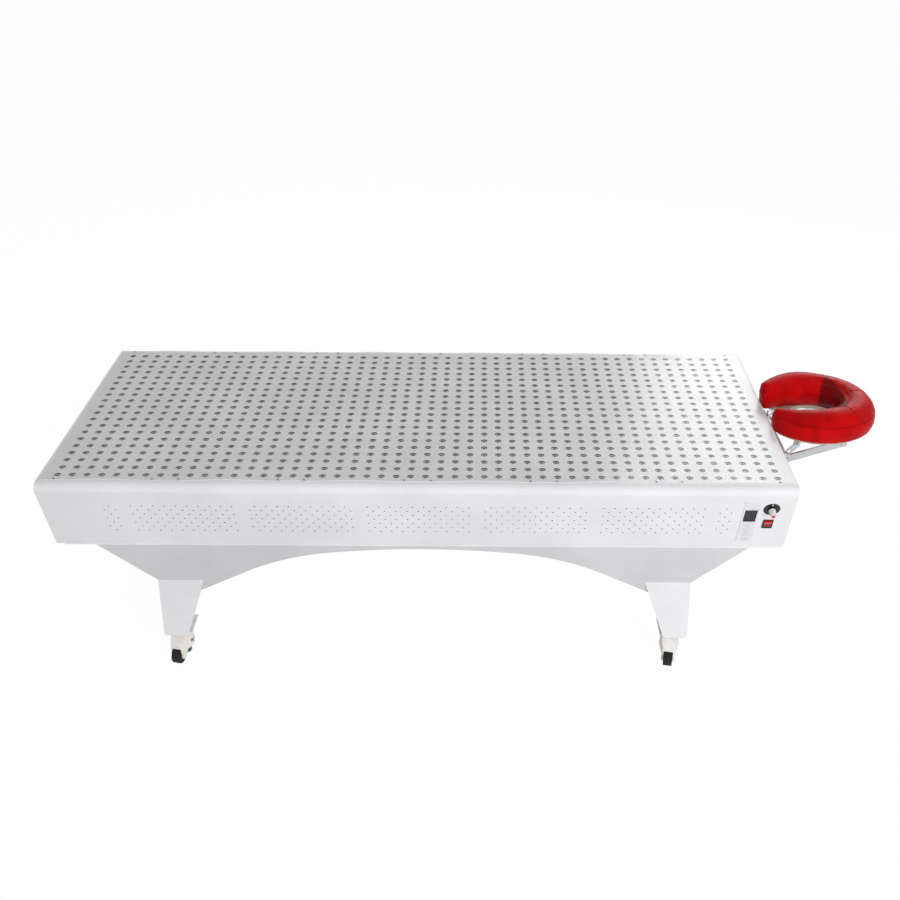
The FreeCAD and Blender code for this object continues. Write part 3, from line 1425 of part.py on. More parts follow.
def cam_lever():
    """The quick release lever: two cams on a pin through the rod's tongue, and a handle hanging down."""
    body = new_body("cam_lever")
    cam = sketch_on(body, "YZ_Plane", lift="clamp_offset")
    draw_circle(cam, LEVER_Y, "-clamp_depth", "lever_width / 2")
    pad(body, cam, "lever_width", both=True)
    gap = sketch_on(body, "YZ_Plane", lift="clamp_offset")
    draw_circle(gap, LEVER_Y, "-clamp_depth", "lever_width / 2 + weld_overlap")
    pocket(body, gap, "tongue_thickness + 2 * slot_gap", both=True)
    for outline in (cam_pin, cam_handle):
        item = sketch_on(body, "YZ_Plane", lift="clamp_offset")
        outline(item)
        pad(body, item, "lever_width", both=True)
    return at_head(body)


def cam_pin(sketch):
    draw_circle(sketch, LEVER_Y, "-clamp_depth", "lever_pin_radius")


def cam_handle(sketch):
    root = "(-clamp_depth - lever_width / 2 + lever_overlap)"
    draw(sketch, [
        (f"{LEVER_Y} - lever_thickness / 2", root),
        (f"{LEVER_Y} + lever_splay", "-clamp_depth - lever_length"),
        (f"{LEVER_Y} + lever_splay + lever_thickness", "-clamp_depth - lever_length"),
        (f"{LEVER_Y} + lever_thickness / 2 + lever_swell", root),
    ])


# Horseshoe cushion

# Shares of a cushion section's width and crown height: the crown's place, the inward slope, the lip over
# the face hole, and the section's foot under that lip
CROWN_SHARE = 0.30
SLOPE_SHARE = (0.72, 0.87)
LIP_SHARE = (1.00, 0.56)
FOOT_SHARE = 0.78
PAD_SECTIONS = 15


def pad_section_wire(angle):
    """One cross section: flat under, a bulging side band up to the seam, a crown and an overhanging lip."""
    seam = value("pad_seam_height")
    opening = 180 - value("pad_opening_angle")
    taper = (max(0, abs(angle) - opening / 2) / (opening / 2)) ** 2
    width = value("pad_section") + value("pad_end_section - pad_section") * taper
    crown = value("pad_crown_height") + value("pad_end_crown_height - pad_crown_height") * taper
    cosine, sine = math.cos(math.radians(angle)), math.sin(math.radians(angle))
    rim = Vector(value("pad_half_length") * cosine, value("pad_half_width") * sine, 0)
    outer = rim + Vector(value("pad_centre_from_end"), 0, value(CUSHION_UNDER))
    across = Vector(0, -math.copysign(1, sine), 0)
    inward = (Vector(-cosine, -sine, 0) * (1 - taper) + across * taper).normalize()

    def point(inset, height):
        return outer + inward * inset + Vector(0, 0, height)

    foot, inner_foot = point(0, 0), point(width * FOOT_SHARE, 0)
    band = point(-value("pad_bulge"), seam / 2)
    edge = point(0, seam)
    top = point(width * CROWN_SHARE, crown)
    slope = point(width * SLOPE_SHARE[0], crown * SLOPE_SHARE[1])
    lip = point(width * LIP_SHARE[0], crown * LIP_SHARE[1])
    return Part.Wire([
        Part.Arc(foot, band, edge).toShape(),
        Part.Arc(edge, top, slope).toShape(),
        Part.Arc(slope, lip, inner_foot).toShape(),
        Part.LineSegment(inner_foot, foot).toShape(),
    ])


def headrest_pad():
    """The padded horseshoe: a loft through sections round the face hole, narrower at its two ends."""
    piece = doc.addObject("Part::Feature", "headrest_pad")
    piece.Label = "headrest_pad"
    opening = 180 - value("pad_opening_angle")
    angles = [opening * (2 * index / (PAD_SECTIONS - 1) - 1) for index in range(PAD_SECTIONS)]
    piece.Shape = Part.makeLoft([pad_section_wire(angle) for angle in angles], True, False)
    return at_head(piece)


def build_all():
    pieces = [
        vented("front_panel", side_panel("front_panel_blank", control_cuts())),
        side_panel("rear_panel", [inlet_cut], rear=True),
        end_panel("foot_end_panel", -1),
        end_panel("head_end_panel", 1),
        bottom_pan(),
        cross_ribs(),
        reflector_plate(),
        led_boards(),
        cover_sheet(),
        power_supplies(),
        fan_frames(),
        mains_inlet(),
        keypad_plate(),
        display_module(),
        dial_plate(),
        knob(),
        knob_cap(),
        potentiometer(),
        switch_body(),
        rocker(),
        apron("front_apron"),
        apron("rear_apron", rear=True),
        leg("leg_foot_front", -1),
        leg("leg_head_front", 1),
        leg("leg_foot_rear", -1, rear=True),
        leg("leg_head_rear", 1, rear=True),
        end_frame("foot_frame", -1),
        end_frame("head_frame", 1),
        caster_plates(),
        rod_sockets(),
        cradle_base(),
        cradle_arms(),
        cradle_pins(),
        cradle_platform(),
        cradle_struts(),
        clamp_rod(),
        cam_lever(),
        headrest_pad(),
    ]
    pieces += [fan_rotor(f"fan_rotor_{name}", spot) for name, spot in zip(("foot", "head"), fan_places())]
    pieces += [key(number, slope) for number, slope in enumerate(key_slopes(), start=1)]
    for spot in caster_spots():
        pieces += [make(*spot) for make in (caster_housing, caster_wheel, caster_thumb_dial, caster_foot)]
    return pieces


def check(pieces):
    """Stops if any object failed or any piece has no valid solid."""
    doc.recompute()
    failed = [item.Label for item in doc.Objects if {"Invalid", "Error"} & set(item.State)]
    failed += [piece.Label for piece in pieces if piece.Shape.isNull() or not piece.Shape.isValid()]
    if failed:
        raise RuntimeError("failed: " + ", ".join(failed))


pieces = build_all()
check(pieces)
os.makedirs("parts", exist_ok=True)
for piece in pieces:
    piece.Shape.exportStep(f"parts/{piece.Label}.step")
    box = piece.Shape.BoundBox
    print(f"{piece.Label}: {len(piece.Shape.Solids)} solids, {piece.Shape.Volume:.0f} mm3, "
          f"X {box.XMin:.1f} to {box.XMax:.1f}, Y {box.YMin:.1f} to {box.YMax:.1f}, "
          f"Z {box.ZMin:.1f} to {box.ZMax:.1f}")
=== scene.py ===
import json
import math

import bpy
import numpy as np
from mathutils import Matrix, Vector
from mathutils.bvhtree import BVHTree


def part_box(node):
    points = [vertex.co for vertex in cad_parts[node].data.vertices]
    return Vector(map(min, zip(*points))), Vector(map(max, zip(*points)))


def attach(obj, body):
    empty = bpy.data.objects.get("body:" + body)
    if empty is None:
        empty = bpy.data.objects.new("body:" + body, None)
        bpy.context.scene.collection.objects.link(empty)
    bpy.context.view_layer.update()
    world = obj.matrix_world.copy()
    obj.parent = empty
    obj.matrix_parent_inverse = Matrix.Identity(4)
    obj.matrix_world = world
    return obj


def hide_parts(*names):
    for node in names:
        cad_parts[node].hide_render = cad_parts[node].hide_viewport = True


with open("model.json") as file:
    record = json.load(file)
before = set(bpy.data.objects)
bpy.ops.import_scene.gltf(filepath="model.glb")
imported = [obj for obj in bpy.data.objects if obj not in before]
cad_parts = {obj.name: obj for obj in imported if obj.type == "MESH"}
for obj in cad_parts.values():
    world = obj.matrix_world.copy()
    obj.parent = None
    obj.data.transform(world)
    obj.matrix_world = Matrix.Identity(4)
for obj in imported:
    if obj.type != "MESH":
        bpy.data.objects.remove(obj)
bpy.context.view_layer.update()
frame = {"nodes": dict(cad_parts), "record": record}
nodes = frame["nodes"]
SLOT_OF = {part["node"]: part["material_slot"] for part in frame["record"]["subparts"]}

MM = 0.001
FULL_TURN = 2 * math.pi

# The camera stands where the photograph was taken.
CAMERA_PLACE = Vector((0.009, -2.778, 2.116))
CAMERA_PITCH = math.radians(29.69)
CAMERA_YAW = math.radians(-0.24)
CAMERA_ROLL = math.radians(0.45)
CAMERA_LENS = 44.97
CAMERA_SENSOR = 36.0
CAMERA_SHIFT = -0.0389

# The lights stand on a square grid under the plate.
LIGHT_COLUMNS = 50
LIGHT_ROWS = 20
LIGHT_PITCH = 37 * MM
HOLE_RADIUS = 8.7 * MM
HOLE_EDGE = 0.3 * MM
HOLE_SIDES = 16
CUP_DEPTH = 5.4 * MM
CUP_DROP = 0.3 * MM
CUP_WALL = 0.6 * MM
CUP_GAP = 0.05 * MM
CUP_SIDES = 16
CHIP_RADIUS = 3.9 * MM
CHIP_HEIGHT = 4.4 * MM
CHIP_WALL_SHARE = 0.45
CHIP_SHOULDER_SHARE = 0.85
CHIP_SHOULDER_WIDTH = 0.72

# The clear sheet is held by screws along both long edges and bows up a little between them.
SCREW_PLACES = (33.3, 283, 348.5, 597.5, 662, 907.5)
SCREW_INSET = 4.5 * MM
SCREW_RADIUS = 3.0 * MM
SCREW_SIDES = 16
SCREW_RIM_HEIGHT = 0.5 * MM
SCREW_DOME_HEIGHT = 1.2 * MM
SCREW_DOME_WIDTH = 0.82
SCREW_TOP_HEIGHT = 1.5 * MM
RECESS_FLOOR = 0.4 * MM
RECESS_WIDTH = 0.6
RECESS_ARMS = (1.0, 0.42, 0.34, 0.42)
SHEET_THICKNESS = 3.0 * MM
ACRYLIC_IOR = 1.49
SHEET_BOW = 3.2 * MM
SHEET_BOW_REACH = 45 * MM
SHEET_BOW_SPAN = 230 * MM
SHEET_STEPS = 240
SHEET_INSETS = (0, 4, 9, 16, 26, 40, 60, 90, 140, 220)
SHEET_VEIL = 0.04
SHEET_EDGE_BODY = 0.6
END_EDGE_SHARE = 0.1
SHEET_GLOSS_SPREAD = 0.3
SHEET_REST = 0.1 * MM
PLATE_LAP = 14.02 * MM

# The sloped front carries the controls.
SLOPE_LEAN = math.radians(18)
SLOPE_OUT = Vector((0, -math.cos(SLOPE_LEAN), -math.sin(SLOPE_LEAN)))
SLOPE_UP = Vector((0, -math.sin(SLOPE_LEAN), math.cos(SLOPE_LEAN)))
DISPLAY_SIZE = Vector((31, 45)) * MM
DISPLAY_UP = 26 * MM
DISPLAY_FRAME = 2.6 * MM
FRAME_HEIGHT = 0.7 * MM
KEY_RING_RADIUS = 5.6 * MM
KEY_RING_WIDTH = 0.7 * MM
KEY_RING_SIDES = 32
KEY_COUNT = 4
MARK_HEIGHT = 0.2 * MM
MARK_BEVEL = 0.1 * MM
KEYPAD_HALF_THICKNESS = 0.75 * MM
DIAL_HALF_THICKNESS = 0.6 * MM
KEY_PROUD = 0.5 * MM
KEY_PITCH = 18.5 * MM
KEY_FIRST_DROP = 39 * MM
TICK_SIZE = Vector((2.6, 6.0)) * MM
TICK_UP = 16.5 * MM
TICK_TAPER = 0.7

# Vents in the front slope: five staggered groups and a narrow one at each end
ROLL_RADIUS = 18 * MM
VENT_RADIUS = 1.86 * MM
VENT_WALL = 0.22 * MM
VENT_DEPTH = 1.9 * MM
VENT_PITCH = 28.4 * MM
VENT_ROWS = 7
VENT_ROW_GAP = 16.3 * MM
VENT_FIRST_SLOPE = 49 * MM
VENT_COLUMNS = 10
VENT_GROUPS = 5
VENT_GROUP_PITCH = 298.5 * MM
VENT_END = 780 * MM
VENT_END_COLUMNS = 2
VENT_SIDES = 6

# Small fasteners
PAN_SCREW_PITCH = 310 * MM
PAN_SCREW_INSET = 12 * MM
BOLT_RADIUS = 4.6 * MM
BOLT_HEIGHT = 2.8 * MM
BOLT_INSET = 8.5 * MM
BOLT_SIDES = 6
BOLT_BEVEL_WIDTH = 0.9
BOLT_BEVEL_HEIGHT = 0.3
PLATE_SIZE = 70 * MM
PLATE_THICKNESS = 3 * MM

# The cushion is swollen by cloth simulation and sewn along these lines.
PAD_VOXEL = 5 * MM
PAD_CROWN_STUFFING = -2.5 * MM
PAD_NEAR_STUFFING = -1.0 * MM
PAD_FAR_STUFFING = 5.0 * MM
PAD_ARM_BLEND = 60 * MM
PAD_SWELL_LIMIT = 5 * MM
PAD_END_ROOM = 2.5 * MM
PAD_END_OVERHANG = 8 * MM
PAD_END_RISE = 22 * MM
PAD_MASS = 0.004
PAD_STIFFNESS = 0.5
PAD_BENDING = 0.05
PAD_FRAMES = 20
PAD_QUALITY = 6
PAD_PRESSURE = 40.0
PAD_FLAT = 4 * MM
PAD_TIP_RADIUS = 162 * MM
PAD_CROWN_RADIUS = 126 * MM
PAD_SEAM_HEIGHT = 50 * MM
PANEL_SEAMS = (66, 6, -58)
BAND_OUTWARD = 0.15
BAND_INWARD = -0.1
BAND_INNER_RADIUS = 0.8 * PAD_CROWN_RADIUS
END_FACE_TURN = -0.6
NO_SEAM = 1.0
SEAM_DEPTH = 1.4 * MM
SEAM_WIDTH = 2.1 * MM
# Painted shade: how dark the seam grooves and the panel inside the crown are painted.
SEAM_SHADE = 0.35
INNER_SHADE = 0.75
INNER_EDGE = 77 * MM
INNER_EDGE_RISE = 28 * MM
INNER_EDGE_ANGLE = 60
INNER_EDGE_BLUR = 7 * MM
NEAR_SEAM_BLUR = 6
FAR_SEAM_BLUR = 2
PUCKER_DEPTH = 0.5 * MM
PUCKER_REACH = 11 * MM
PUCKER_PITCH = 13 * MM
STITCH_PITCH = 5.2 * MM
STITCH_LENGTH = 3.4 * MM
STITCH_RADIUS = 0.42 * MM
STITCH_OFFSET = 3.2 * MM
STITCH_SIDES = 6
STITCH_TAPER = 0.7
STITCH_TAPER_START = 0.4
STITCH_TAPER_END = 0.8
STITCH_ROW_START = 68 * MM
STITCH_ROW_LENGTH = 85 * MM
STITCH_BAND_TURN = math.radians(140)
STITCH_RAY_START = 300 * MM

# Floor and light
FLOOR_WHITE = 0.90
FLOOR_GLOW = 1.05
FLOOR_REACH = 30.0
WORLD_LIGHT = 0.48
GLOSS_SHARE = 0.15
KEY_PLACE = (2.2, -4.8, 2.8)
KEY_TARGET = (0.0, 0.0, 0.5)
KEY_SIZE = (3.0, 2.4)
KEY_POWER = 175
WINDOW_PLACE = (1.9, 2.8, 2.0)
WINDOW_TARGET = (0.5, 0.0, 0.66)
WINDOW_SIZE = (2.0, 1.8)
WINDOW_POWER = 40


def tone(red, green, blue):
    """Display values from 0 to 255 as a linear colour."""
    parts = [part / 255 for part in (red, green, blue)]
    linear = [part / 12.92 if part <= 0.04045 else ((part + 0.055) / 1.055) ** 2.4 for part in parts]
    return (*linear, 1.0)


# Shader building

def add(tree, kind, values=None, **options):
    made = tree.nodes.new(kind)
    for option, choice in options.items():
        setattr(made, option, choice)
    for socket, amount in (values or {}).items():
        made.inputs[socket].default_value = amount
    return made


def start(name, **sockets):
    """A new material with its tree and shader; socket names are given with underscores."""
    material = bpy.data.materials.new(name)
    material.use_nodes = True
    shader = material.node_tree.nodes["Principled BSDF"]
    for socket, amount in sockets.items():
        shader.inputs[socket.replace("_", " ")].default_value = amount
    return material, material.node_tree, shader


def places(tree, stretch):
    """Places on the object in metres, stretched along each axis."""
    coordinates = add(tree, "ShaderNodeTexCoord")
    mapping = add(tree, "ShaderNodeMapping", {"Scale": stretch})
    tree.links.new(coordinates.outputs["Object"], mapping.inputs["Vector"])
    return mapping.outputs["Vector"]


def cloud(tree, scale, detail=3.0, stretch=(1, 1, 1)):
    texture = add(tree, "ShaderNodeTexNoise", {"Scale": scale, "Detail": detail})
    tree.links.new(places(tree, stretch), texture.inputs["Vector"])
    return texture.outputs["Fac"]


def cells(tree, scale, feature="F1", output="Distance"):
    texture = add(tree, "ShaderNodeTexVoronoi", {"Scale": scale}, feature=feature)
    tree.links.new(places(tree, (1, 1, 1)), texture.inputs["Vector"])
    return texture.outputs[output]


def spread(tree, source, low, high, start_at=0.3, end_at=0.7):
    """Carries the middle of a pattern onto the range from low to high."""
    mapped = add(tree, "ShaderNodeMapRange",
                 {"From Min": start_at, "From Max": end_at, "To Min": low, "To Max": high})
    tree.links.new(source, mapped.inputs["Value"])
    return mapped.outputs["Result"]


def ramp(tree, source, dark, light, start_at=0.35, end_at=0.65):
    colours = add(tree, "ShaderNodeValToRGB")
    first, last = colours.color_ramp.elements
    first.position, first.color = start_at, dark
    last.position, last.color = end_at, light
    tree.links.new(source, colours.inputs["Fac"])
    return colours.outputs["Color"]


def relief(tree, shader, height, strength, distance, under=None):
    bump = add(tree, "ShaderNodeBump", {"Strength": strength, "Distance": distance})
    tree.links.new(height, bump.inputs["Height"])
    if under is not None:
        tree.links.new(under, bump.inputs["Normal"])
    tree.links.new(bump.outputs["Normal"], shader.inputs["Normal"])
    return bump.outputs["Normal"]


def finish(name, dark, light, shine, patch, grain, grain_strength, grain_depth, stretch=(1, 1, 1), **sockets):
    """A surface with soft patches of two tones, uneven shine and a fine grain."""
    material, tree, shader = start(name, **sockets)
    patches = cloud(tree, patch, 4.0, stretch)
    tree.links.new(ramp(tree, patches, dark, light), shader.inputs["Base Color"])
    tree.links.new(spread(tree, cloud(tree, patch * 5, 3.0, stretch), *shine), shader.inputs["Roughness"])
    relief(tree, shader, cloud(tree, grain, 2.0, stretch), grain_strength, grain_depth)
    return material


# Materials, one for each slot of the record

def white_paint():
    return finish("white_paint", tone(228, 228, 230), tone(236, 236, 238), shine=(0.36, 0.46),
                  patch=5, grain=900, grain_strength=0.12, grain_depth=0.12 * MM)


def apron_painted_shade():
    """The white of the aprons, a little greyer than the rest: painted shade."""
    return finish("apron_painted_shade", tone(206, 206, 208), tone(214, 214, 216), shine=(0.4, 0.5),
                  patch=5, grain=900, grain_strength=0.12, grain_depth=0.12 * MM)


def plain_steel():
    material, tree, shader = start("plain_steel", Metallic=1.0)
    spangle = cells(tree, 70, output="Color")
    tree.links.new(ramp(tree, spangle, tone(140, 143, 146), tone(186, 188, 190), 0.1, 0.9),
                   shader.inputs["Base Color"])
    tree.links.new(spread(tree, spangle, 0.38, 0.55, 0.1, 0.9), shader.inputs["Roughness"])
    relief(tree, shader, cloud(tree, 300), 0.15, 0.1 * MM)
    return material


def clear_sheet():
    """Clear acrylic: see-through, with a faint veil, gloss at low angles and a brighter cut edge."""
    material, tree, shader = start("clear_sheet", IOR=ACRYLIC_IOR)
    haze = cloud(tree, 3, 3.0)
    tree.links.new(ramp(tree, haze, tone(234, 234, 237), tone(244, 244, 246)), shader.inputs["Base Color"])
    tree.links.new(spread(tree, cloud(tree, 40), 0.05, 0.12), shader.inputs["Roughness"])
    relief(tree, shader, cloud(tree, 9, 1.0), 0.05, 0.4 * MM)
    rim = add(tree, "ShaderNodeAttribute", attribute_name="cut_edge")
    body = spread(tree, rim.outputs["Fac"], SHEET_VEIL, SHEET_EDGE_BODY, 0.0, 1.0)
    through = add(tree, "ShaderNodeBsdfTransparent", {"Color": tone(254, 254, 254)})
    veiled = add(tree, "ShaderNodeMixShader")
    tree.links.new(body, veiled.inputs["Fac"])
    tree.links.new(through.outputs["BSDF"], veiled.inputs[1])
    tree.links.new(shader.outputs["BSDF"], veiled.inputs[2])
    side = add(tree, "ShaderNodeNewGeometry")
    outside = spread(tree, side.outputs["Backfacing"], 1.0, 0.0, 0.0, 1.0)
    mirrored = add(tree, "ShaderNodeFresnel", {"IOR": ACRYLIC_IOR})
    share = add(tree, "ShaderNodeMath", operation="MULTIPLY")
    tree.links.new(mirrored.outputs["Fac"], share.inputs[0])
    tree.links.new(outside, share.inputs[1])
    gloss = add(tree, "ShaderNodeBsdfGlossy", {"Roughness": SHEET_GLOSS_SPREAD})
    glossy = add(tree, "ShaderNodeMixShader")
    tree.links.new(share.outputs["Value"], glossy.inputs["Fac"])
    tree.links.new(veiled.outputs["Shader"], glossy.inputs[1])
    tree.links.new(gloss.outputs["BSDF"], glossy.inputs[2])
    tree.links.new(glossy.outputs["Shader"], tree.nodes["Material Output"].inputs["Surface"])
    return material


def board_laminate():
    return finish("board_laminate", tone(228, 230, 232), tone(240, 241, 243), shine=(0.4, 0.55),
                  patch=60, grain=1200, grain_strength=0.1, grain_depth=0.05 * MM)


def supply_case():
    return finish("supply_case", tone(150, 152, 154), tone(172, 174, 176), shine=(0.35, 0.5),
                  patch=30, grain=500, grain_strength=0.2, grain_depth=0.08 * MM,
                  stretch=(1, 12, 1), Metallic=0.9)


def black_plastic():
    return finish("black_plastic", tone(20, 20, 22), tone(34, 34, 37), shine=(0.35, 0.5),
                  patch=40, grain=1600, grain_strength=0.25, grain_depth=0.1 * MM)


def pale_plastic():
    return finish("pale_plastic", tone(222, 222, 227), tone(231, 231, 236), shine=(0.4, 0.5),
                  patch=25, grain=1400, grain_strength=0.12, grain_depth=0.06 * MM)


def display_window():
    return finish("display_window", tone(24, 28, 32), tone(36, 41, 46), shine=(0.2, 0.3),
                  patch=18, grain=700, grain_strength=0.03, grain_depth=0.03 * MM)


def grey_plastic():
    return finish("grey_plastic", tone(212, 212, 215), tone(226, 226, 229), shine=(0.32, 0.44),
                  patch=60, grain=1500, grain_strength=0.15, grain_depth=0.08 * MM)


def red_plastic():
    return finish("red_plastic", tone(182, 16, 24), tone(214, 24, 32), shine=(0.28, 0.4),
                  patch=70, grain=1500, grain_strength=0.15, grain_depth=0.08 * MM)


def red_lens():
    """The rocker: red translucent plastic, bright in its upper third as painted light."""
    material, tree, shader = start("red_lens", Coat_Weight=0.4, Coat_Roughness=0.12)
    lo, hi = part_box("rocker")
    upright = add(tree, "ShaderNodeSeparateXYZ")
    tree.links.new(places(tree, (1, 1, 1)), upright.inputs["Vector"])
    level = spread(tree, upright.outputs["Z"], 0.0, 1.0, lo.z, hi.z)
    # Painted light: brighter red above, by height on the rocker.
    tree.links.new(ramp(tree, level, tone(126, 4, 6), tone(240, 26, 18), 0.6, 0.75),
                   shader.inputs["Base Color"])
    tree.links.new(spread(tree, cloud(tree, 300), 0.18, 0.3), shader.inputs["Roughness"])
    relief(tree, shader, cloud(tree, 900), 0.1, 0.08 * MM)
    return material


def control_metal():
    return finish("control_metal", tone(160, 160, 162), tone(190, 190, 192), shine=(0.25, 0.4),
                  patch=50, grain=800, grain_strength=0.15, grain_depth=0.05 * MM,
                  stretch=(1, 1, 8), Metallic=1.0)


def yellow_zinc():
    """Yellow chromate over zinc: gold with pink and green patches."""
    material, tree, shader = start("yellow_zinc", Metallic=1.0)
    colours = add(tree, "ShaderNodeValToRGB")
    stops = colours.color_ramp
    stops.elements[0].position, stops.elements[0].color = 0.3, tone(160, 128, 70)
    stops.elements[1].position, stops.elements[1].color = 0.7, tone(196, 168, 96)
    rosy = stops.elements.new(0.5)
    rosy.color = tone(190, 140, 96)
    tree.links.new(cloud(tree, 90, 4.0), colours.inputs["Fac"])
    tree.links.new(colours.outputs["Color"], shader.inputs["Base Color"])
    tree.links.new(spread(tree, cloud(tree, 200), 0.28, 0.45), shader.inputs["Roughness"])
    relief(tree, shader, cloud(tree, 900), 0.2, 0.08 * MM)
    return material


def ivory_casting():
    return finish("ivory_casting", tone(238, 234, 228), tone(247, 244, 239), shine=(0.34, 0.48),
                  patch=45, grain=700, grain_strength=0.25, grain_depth=0.15 * MM)


def wheel_tread():
    return finish("wheel_tread", tone(10, 10, 11), tone(21, 21, 22), shine=(0.4, 0.6),
                  patch=60, grain=900, grain_strength=0.3, grain_depth=0.15 * MM)


def zinc_steel():
    return finish("zinc_steel", tone(150, 153, 157), tone(188, 190, 193), shine=(0.28, 0.44),
                  patch=70, grain=900, grain_strength=0.2, grain_depth=0.08 * MM, Metallic=1.0)


def bright_steel():
    """Bright zinc plating: even, with a fine brushed grain along the bars."""
    material, tree, shader = start("bright_steel", Metallic=1.0)
    tree.links.new(ramp(tree, cloud(tree, 14, 3.0), tone(208, 209, 212), tone(220, 221, 224)),
                   shader.inputs["Base Color"])
    brushed = cloud(tree, 400, 2.0, (0.15, 1, 1))
    tree.links.new(spread(tree, brushed, 0.22, 0.32), shader.inputs["Roughness"])
    relief(tree, shader, brushed, 0.05, 0.03 * MM)
    return material


def black_lever():
    return finish("black_lever", tone(16, 16, 17), tone(30, 30, 32), shine=(0.3, 0.42),
                  patch=50, grain=1200, grain_strength=0.3, grain_depth=0.1 * MM)


def cream_board():
    """Plywood under a cream lacquer: faint long grain."""
    material, tree, shader = start("cream_board", Coat_Weight=0.15, Coat_Roughness=0.35)
    grain = cloud(tree, 26, 6.0, (1, 7, 7))
    tree.links.new(ramp(tree, grain, tone(176, 168, 148), tone(206, 199, 181)), shader.inputs["Base Color"])
    tree.links.new(spread(tree, grain, 0.45, 0.6), shader.inputs["Roughness"])
    relief(tree, shader, grain, 0.2, 0.2 * MM)
    return material


def red_leather():
    """Coated leather: pebbled grain, soft creases, with painted shade in the seams and on the panel inside
    the crown.
    """
    material, tree, shader = start("red_leather", Specular_IOR_Level=0.08)
    worn = ramp(tree, cloud(tree, 22, 4.0), tone(168, 4, 8), tone(196, 7, 11))
    # This mask and its dark red are painted shade: darker in the seam grooves and on the panel inside the
    # crown.
    shade = add(tree, "ShaderNodeAttribute", attribute_name="painted_shade")
    dark = add(tree, "ShaderNodeMix", data_type="RGBA")
    tree.links.new(shade.outputs["Fac"], dark.inputs["Factor"])
    tree.links.new(worn, dark.inputs[6])
    dark.inputs[7].default_value = tone(72, 3, 7)
    tree.links.new(dark.outputs[2], shader.inputs["Base Color"])
    tree.links.new(spread(tree, cloud(tree, 60), 0.36, 0.5), shader.inputs["Roughness"])
    creases = relief(tree, shader, cloud(tree, 38, 5.0, (1, 1, 0.6)), 0.2, 0.8 * MM)
    relief(tree, shader, cells(tree, 620), 0.22, 0.2 * MM, creases)
    return material


MATERIAL_MAKERS = (
    white_paint, plain_steel, clear_sheet, board_laminate, supply_case, black_plastic, pale_plastic,
    display_window, grey_plastic, red_plastic, red_lens, control_metal, yellow_zinc, ivory_casting,
    wheel_tread, zinc_steel, bright_steel, black_lever, cream_board, red_leather,
)
MATERIALS = {maker.__name__: maker() for maker in MATERIAL_MAKERS}
APRON_PAINTED_SHADE = apron_painted_shade()


def dress_nodes():
    for name, node in nodes.items():
        node.data.materials.clear()
        # The aprons take a greyer copy of the white paint as painted shade.
        apron = name.endswith("_apron")
        node.data.materials.append(APRON_PAINTED_SHADE if apron else MATERIALS[SLOT_OF[name]])


# Mesh building

def piece_from(name, points, faces, body, slot, smooth=False):
    mesh = bpy.data.meshes.new(name)
    mesh.from_pydata([tuple(point) for point in points], [], [tuple(face) for face in faces])
    mesh.validate()
    mesh.update()
    mesh.materials.append(MATERIALS[slot])
    if smooth:
        mesh.shade_smooth()
    piece = bpy.data.objects.new(name, mesh)
    bpy.context.scene.collection.objects.link(piece)
    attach(piece, body)
    return piece


def turned(profile, sides):
    """A solid turned about Z from (radius, height) pairs, closed where the radius is zero or as a ring."""
    points, rings = [], []
    for radius, height in profile:
        if radius == 0:
            rings.append([len(points)] * sides)
            points.append((0.0, 0.0, height))
            continue
        rings.append(list(range(len(points), len(points) + sides)))
        angles = [FULL_TURN * side / sides for side in range(sides)]
        points += [(radius * math.cos(angle), radius * math.sin(angle), height) for angle in angles]
    closed = profile[0][0] != 0
    pairs = list(zip(rings, rings[1:] + rings[:1] if closed else rings[1:]))
    faces = []
    for low, high in pairs:
        for side in range(sides):
            after = (side + 1) % sides
            corners = [low[side], low[after], high[after], high[side]]
            faces.append([corner for at, corner in enumerate(corners) if corner not in corners[:at]])
    return points, faces


def repeated(points, faces, moves):
    """One mesh holding a copy of the points for each matrix."""
    all_points, all_faces = [], []
    for move in moves:
        offset = len(all_points)
        all_points += [move @ Vector(point) for point in points]
        all_faces += [[corner + offset for corner in face] for face in faces]
    return all_points, all_faces


def light_spots(height):
    lo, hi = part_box("reflector_plate")
    middle = (lo + hi) / 2
    spots = []
    for column in range(LIGHT_COLUMNS):
        for row in range(LIGHT_ROWS):
            x = middle.x + (column - (LIGHT_COLUMNS - 1) / 2) * LIGHT_PITCH
            y = middle.y + (row - (LIGHT_ROWS - 1) / 2) * LIGHT_PITCH
            spots.append(Vector((x, y, height)))
    return spots


# Lights under the clear sheet

def plate_loops(centre, top, under):
    """The closed loops round one hole, from the cell's edge on top, through the hole, to its edge below."""
    loops = [[], [], [], [], []]
    for side in range(HOLE_SIDES):
        angle = FULL_TURN * side / HOLE_SIDES
        across, along = math.cos(angle), math.sin(angle)
        to_edge = LIGHT_PITCH / 2 / max(abs(across), abs(along))
        rings = ((to_edge, top), (HOLE_RADIUS + HOLE_EDGE, top), (HOLE_RADIUS, top - HOLE_EDGE),
                 (HOLE_RADIUS, under), (to_edge, under))
        for loop, (reach, height) in zip(loops, rings):
            loop.append((centre.x + reach * across, centre.y + reach * along, height))
    return loops


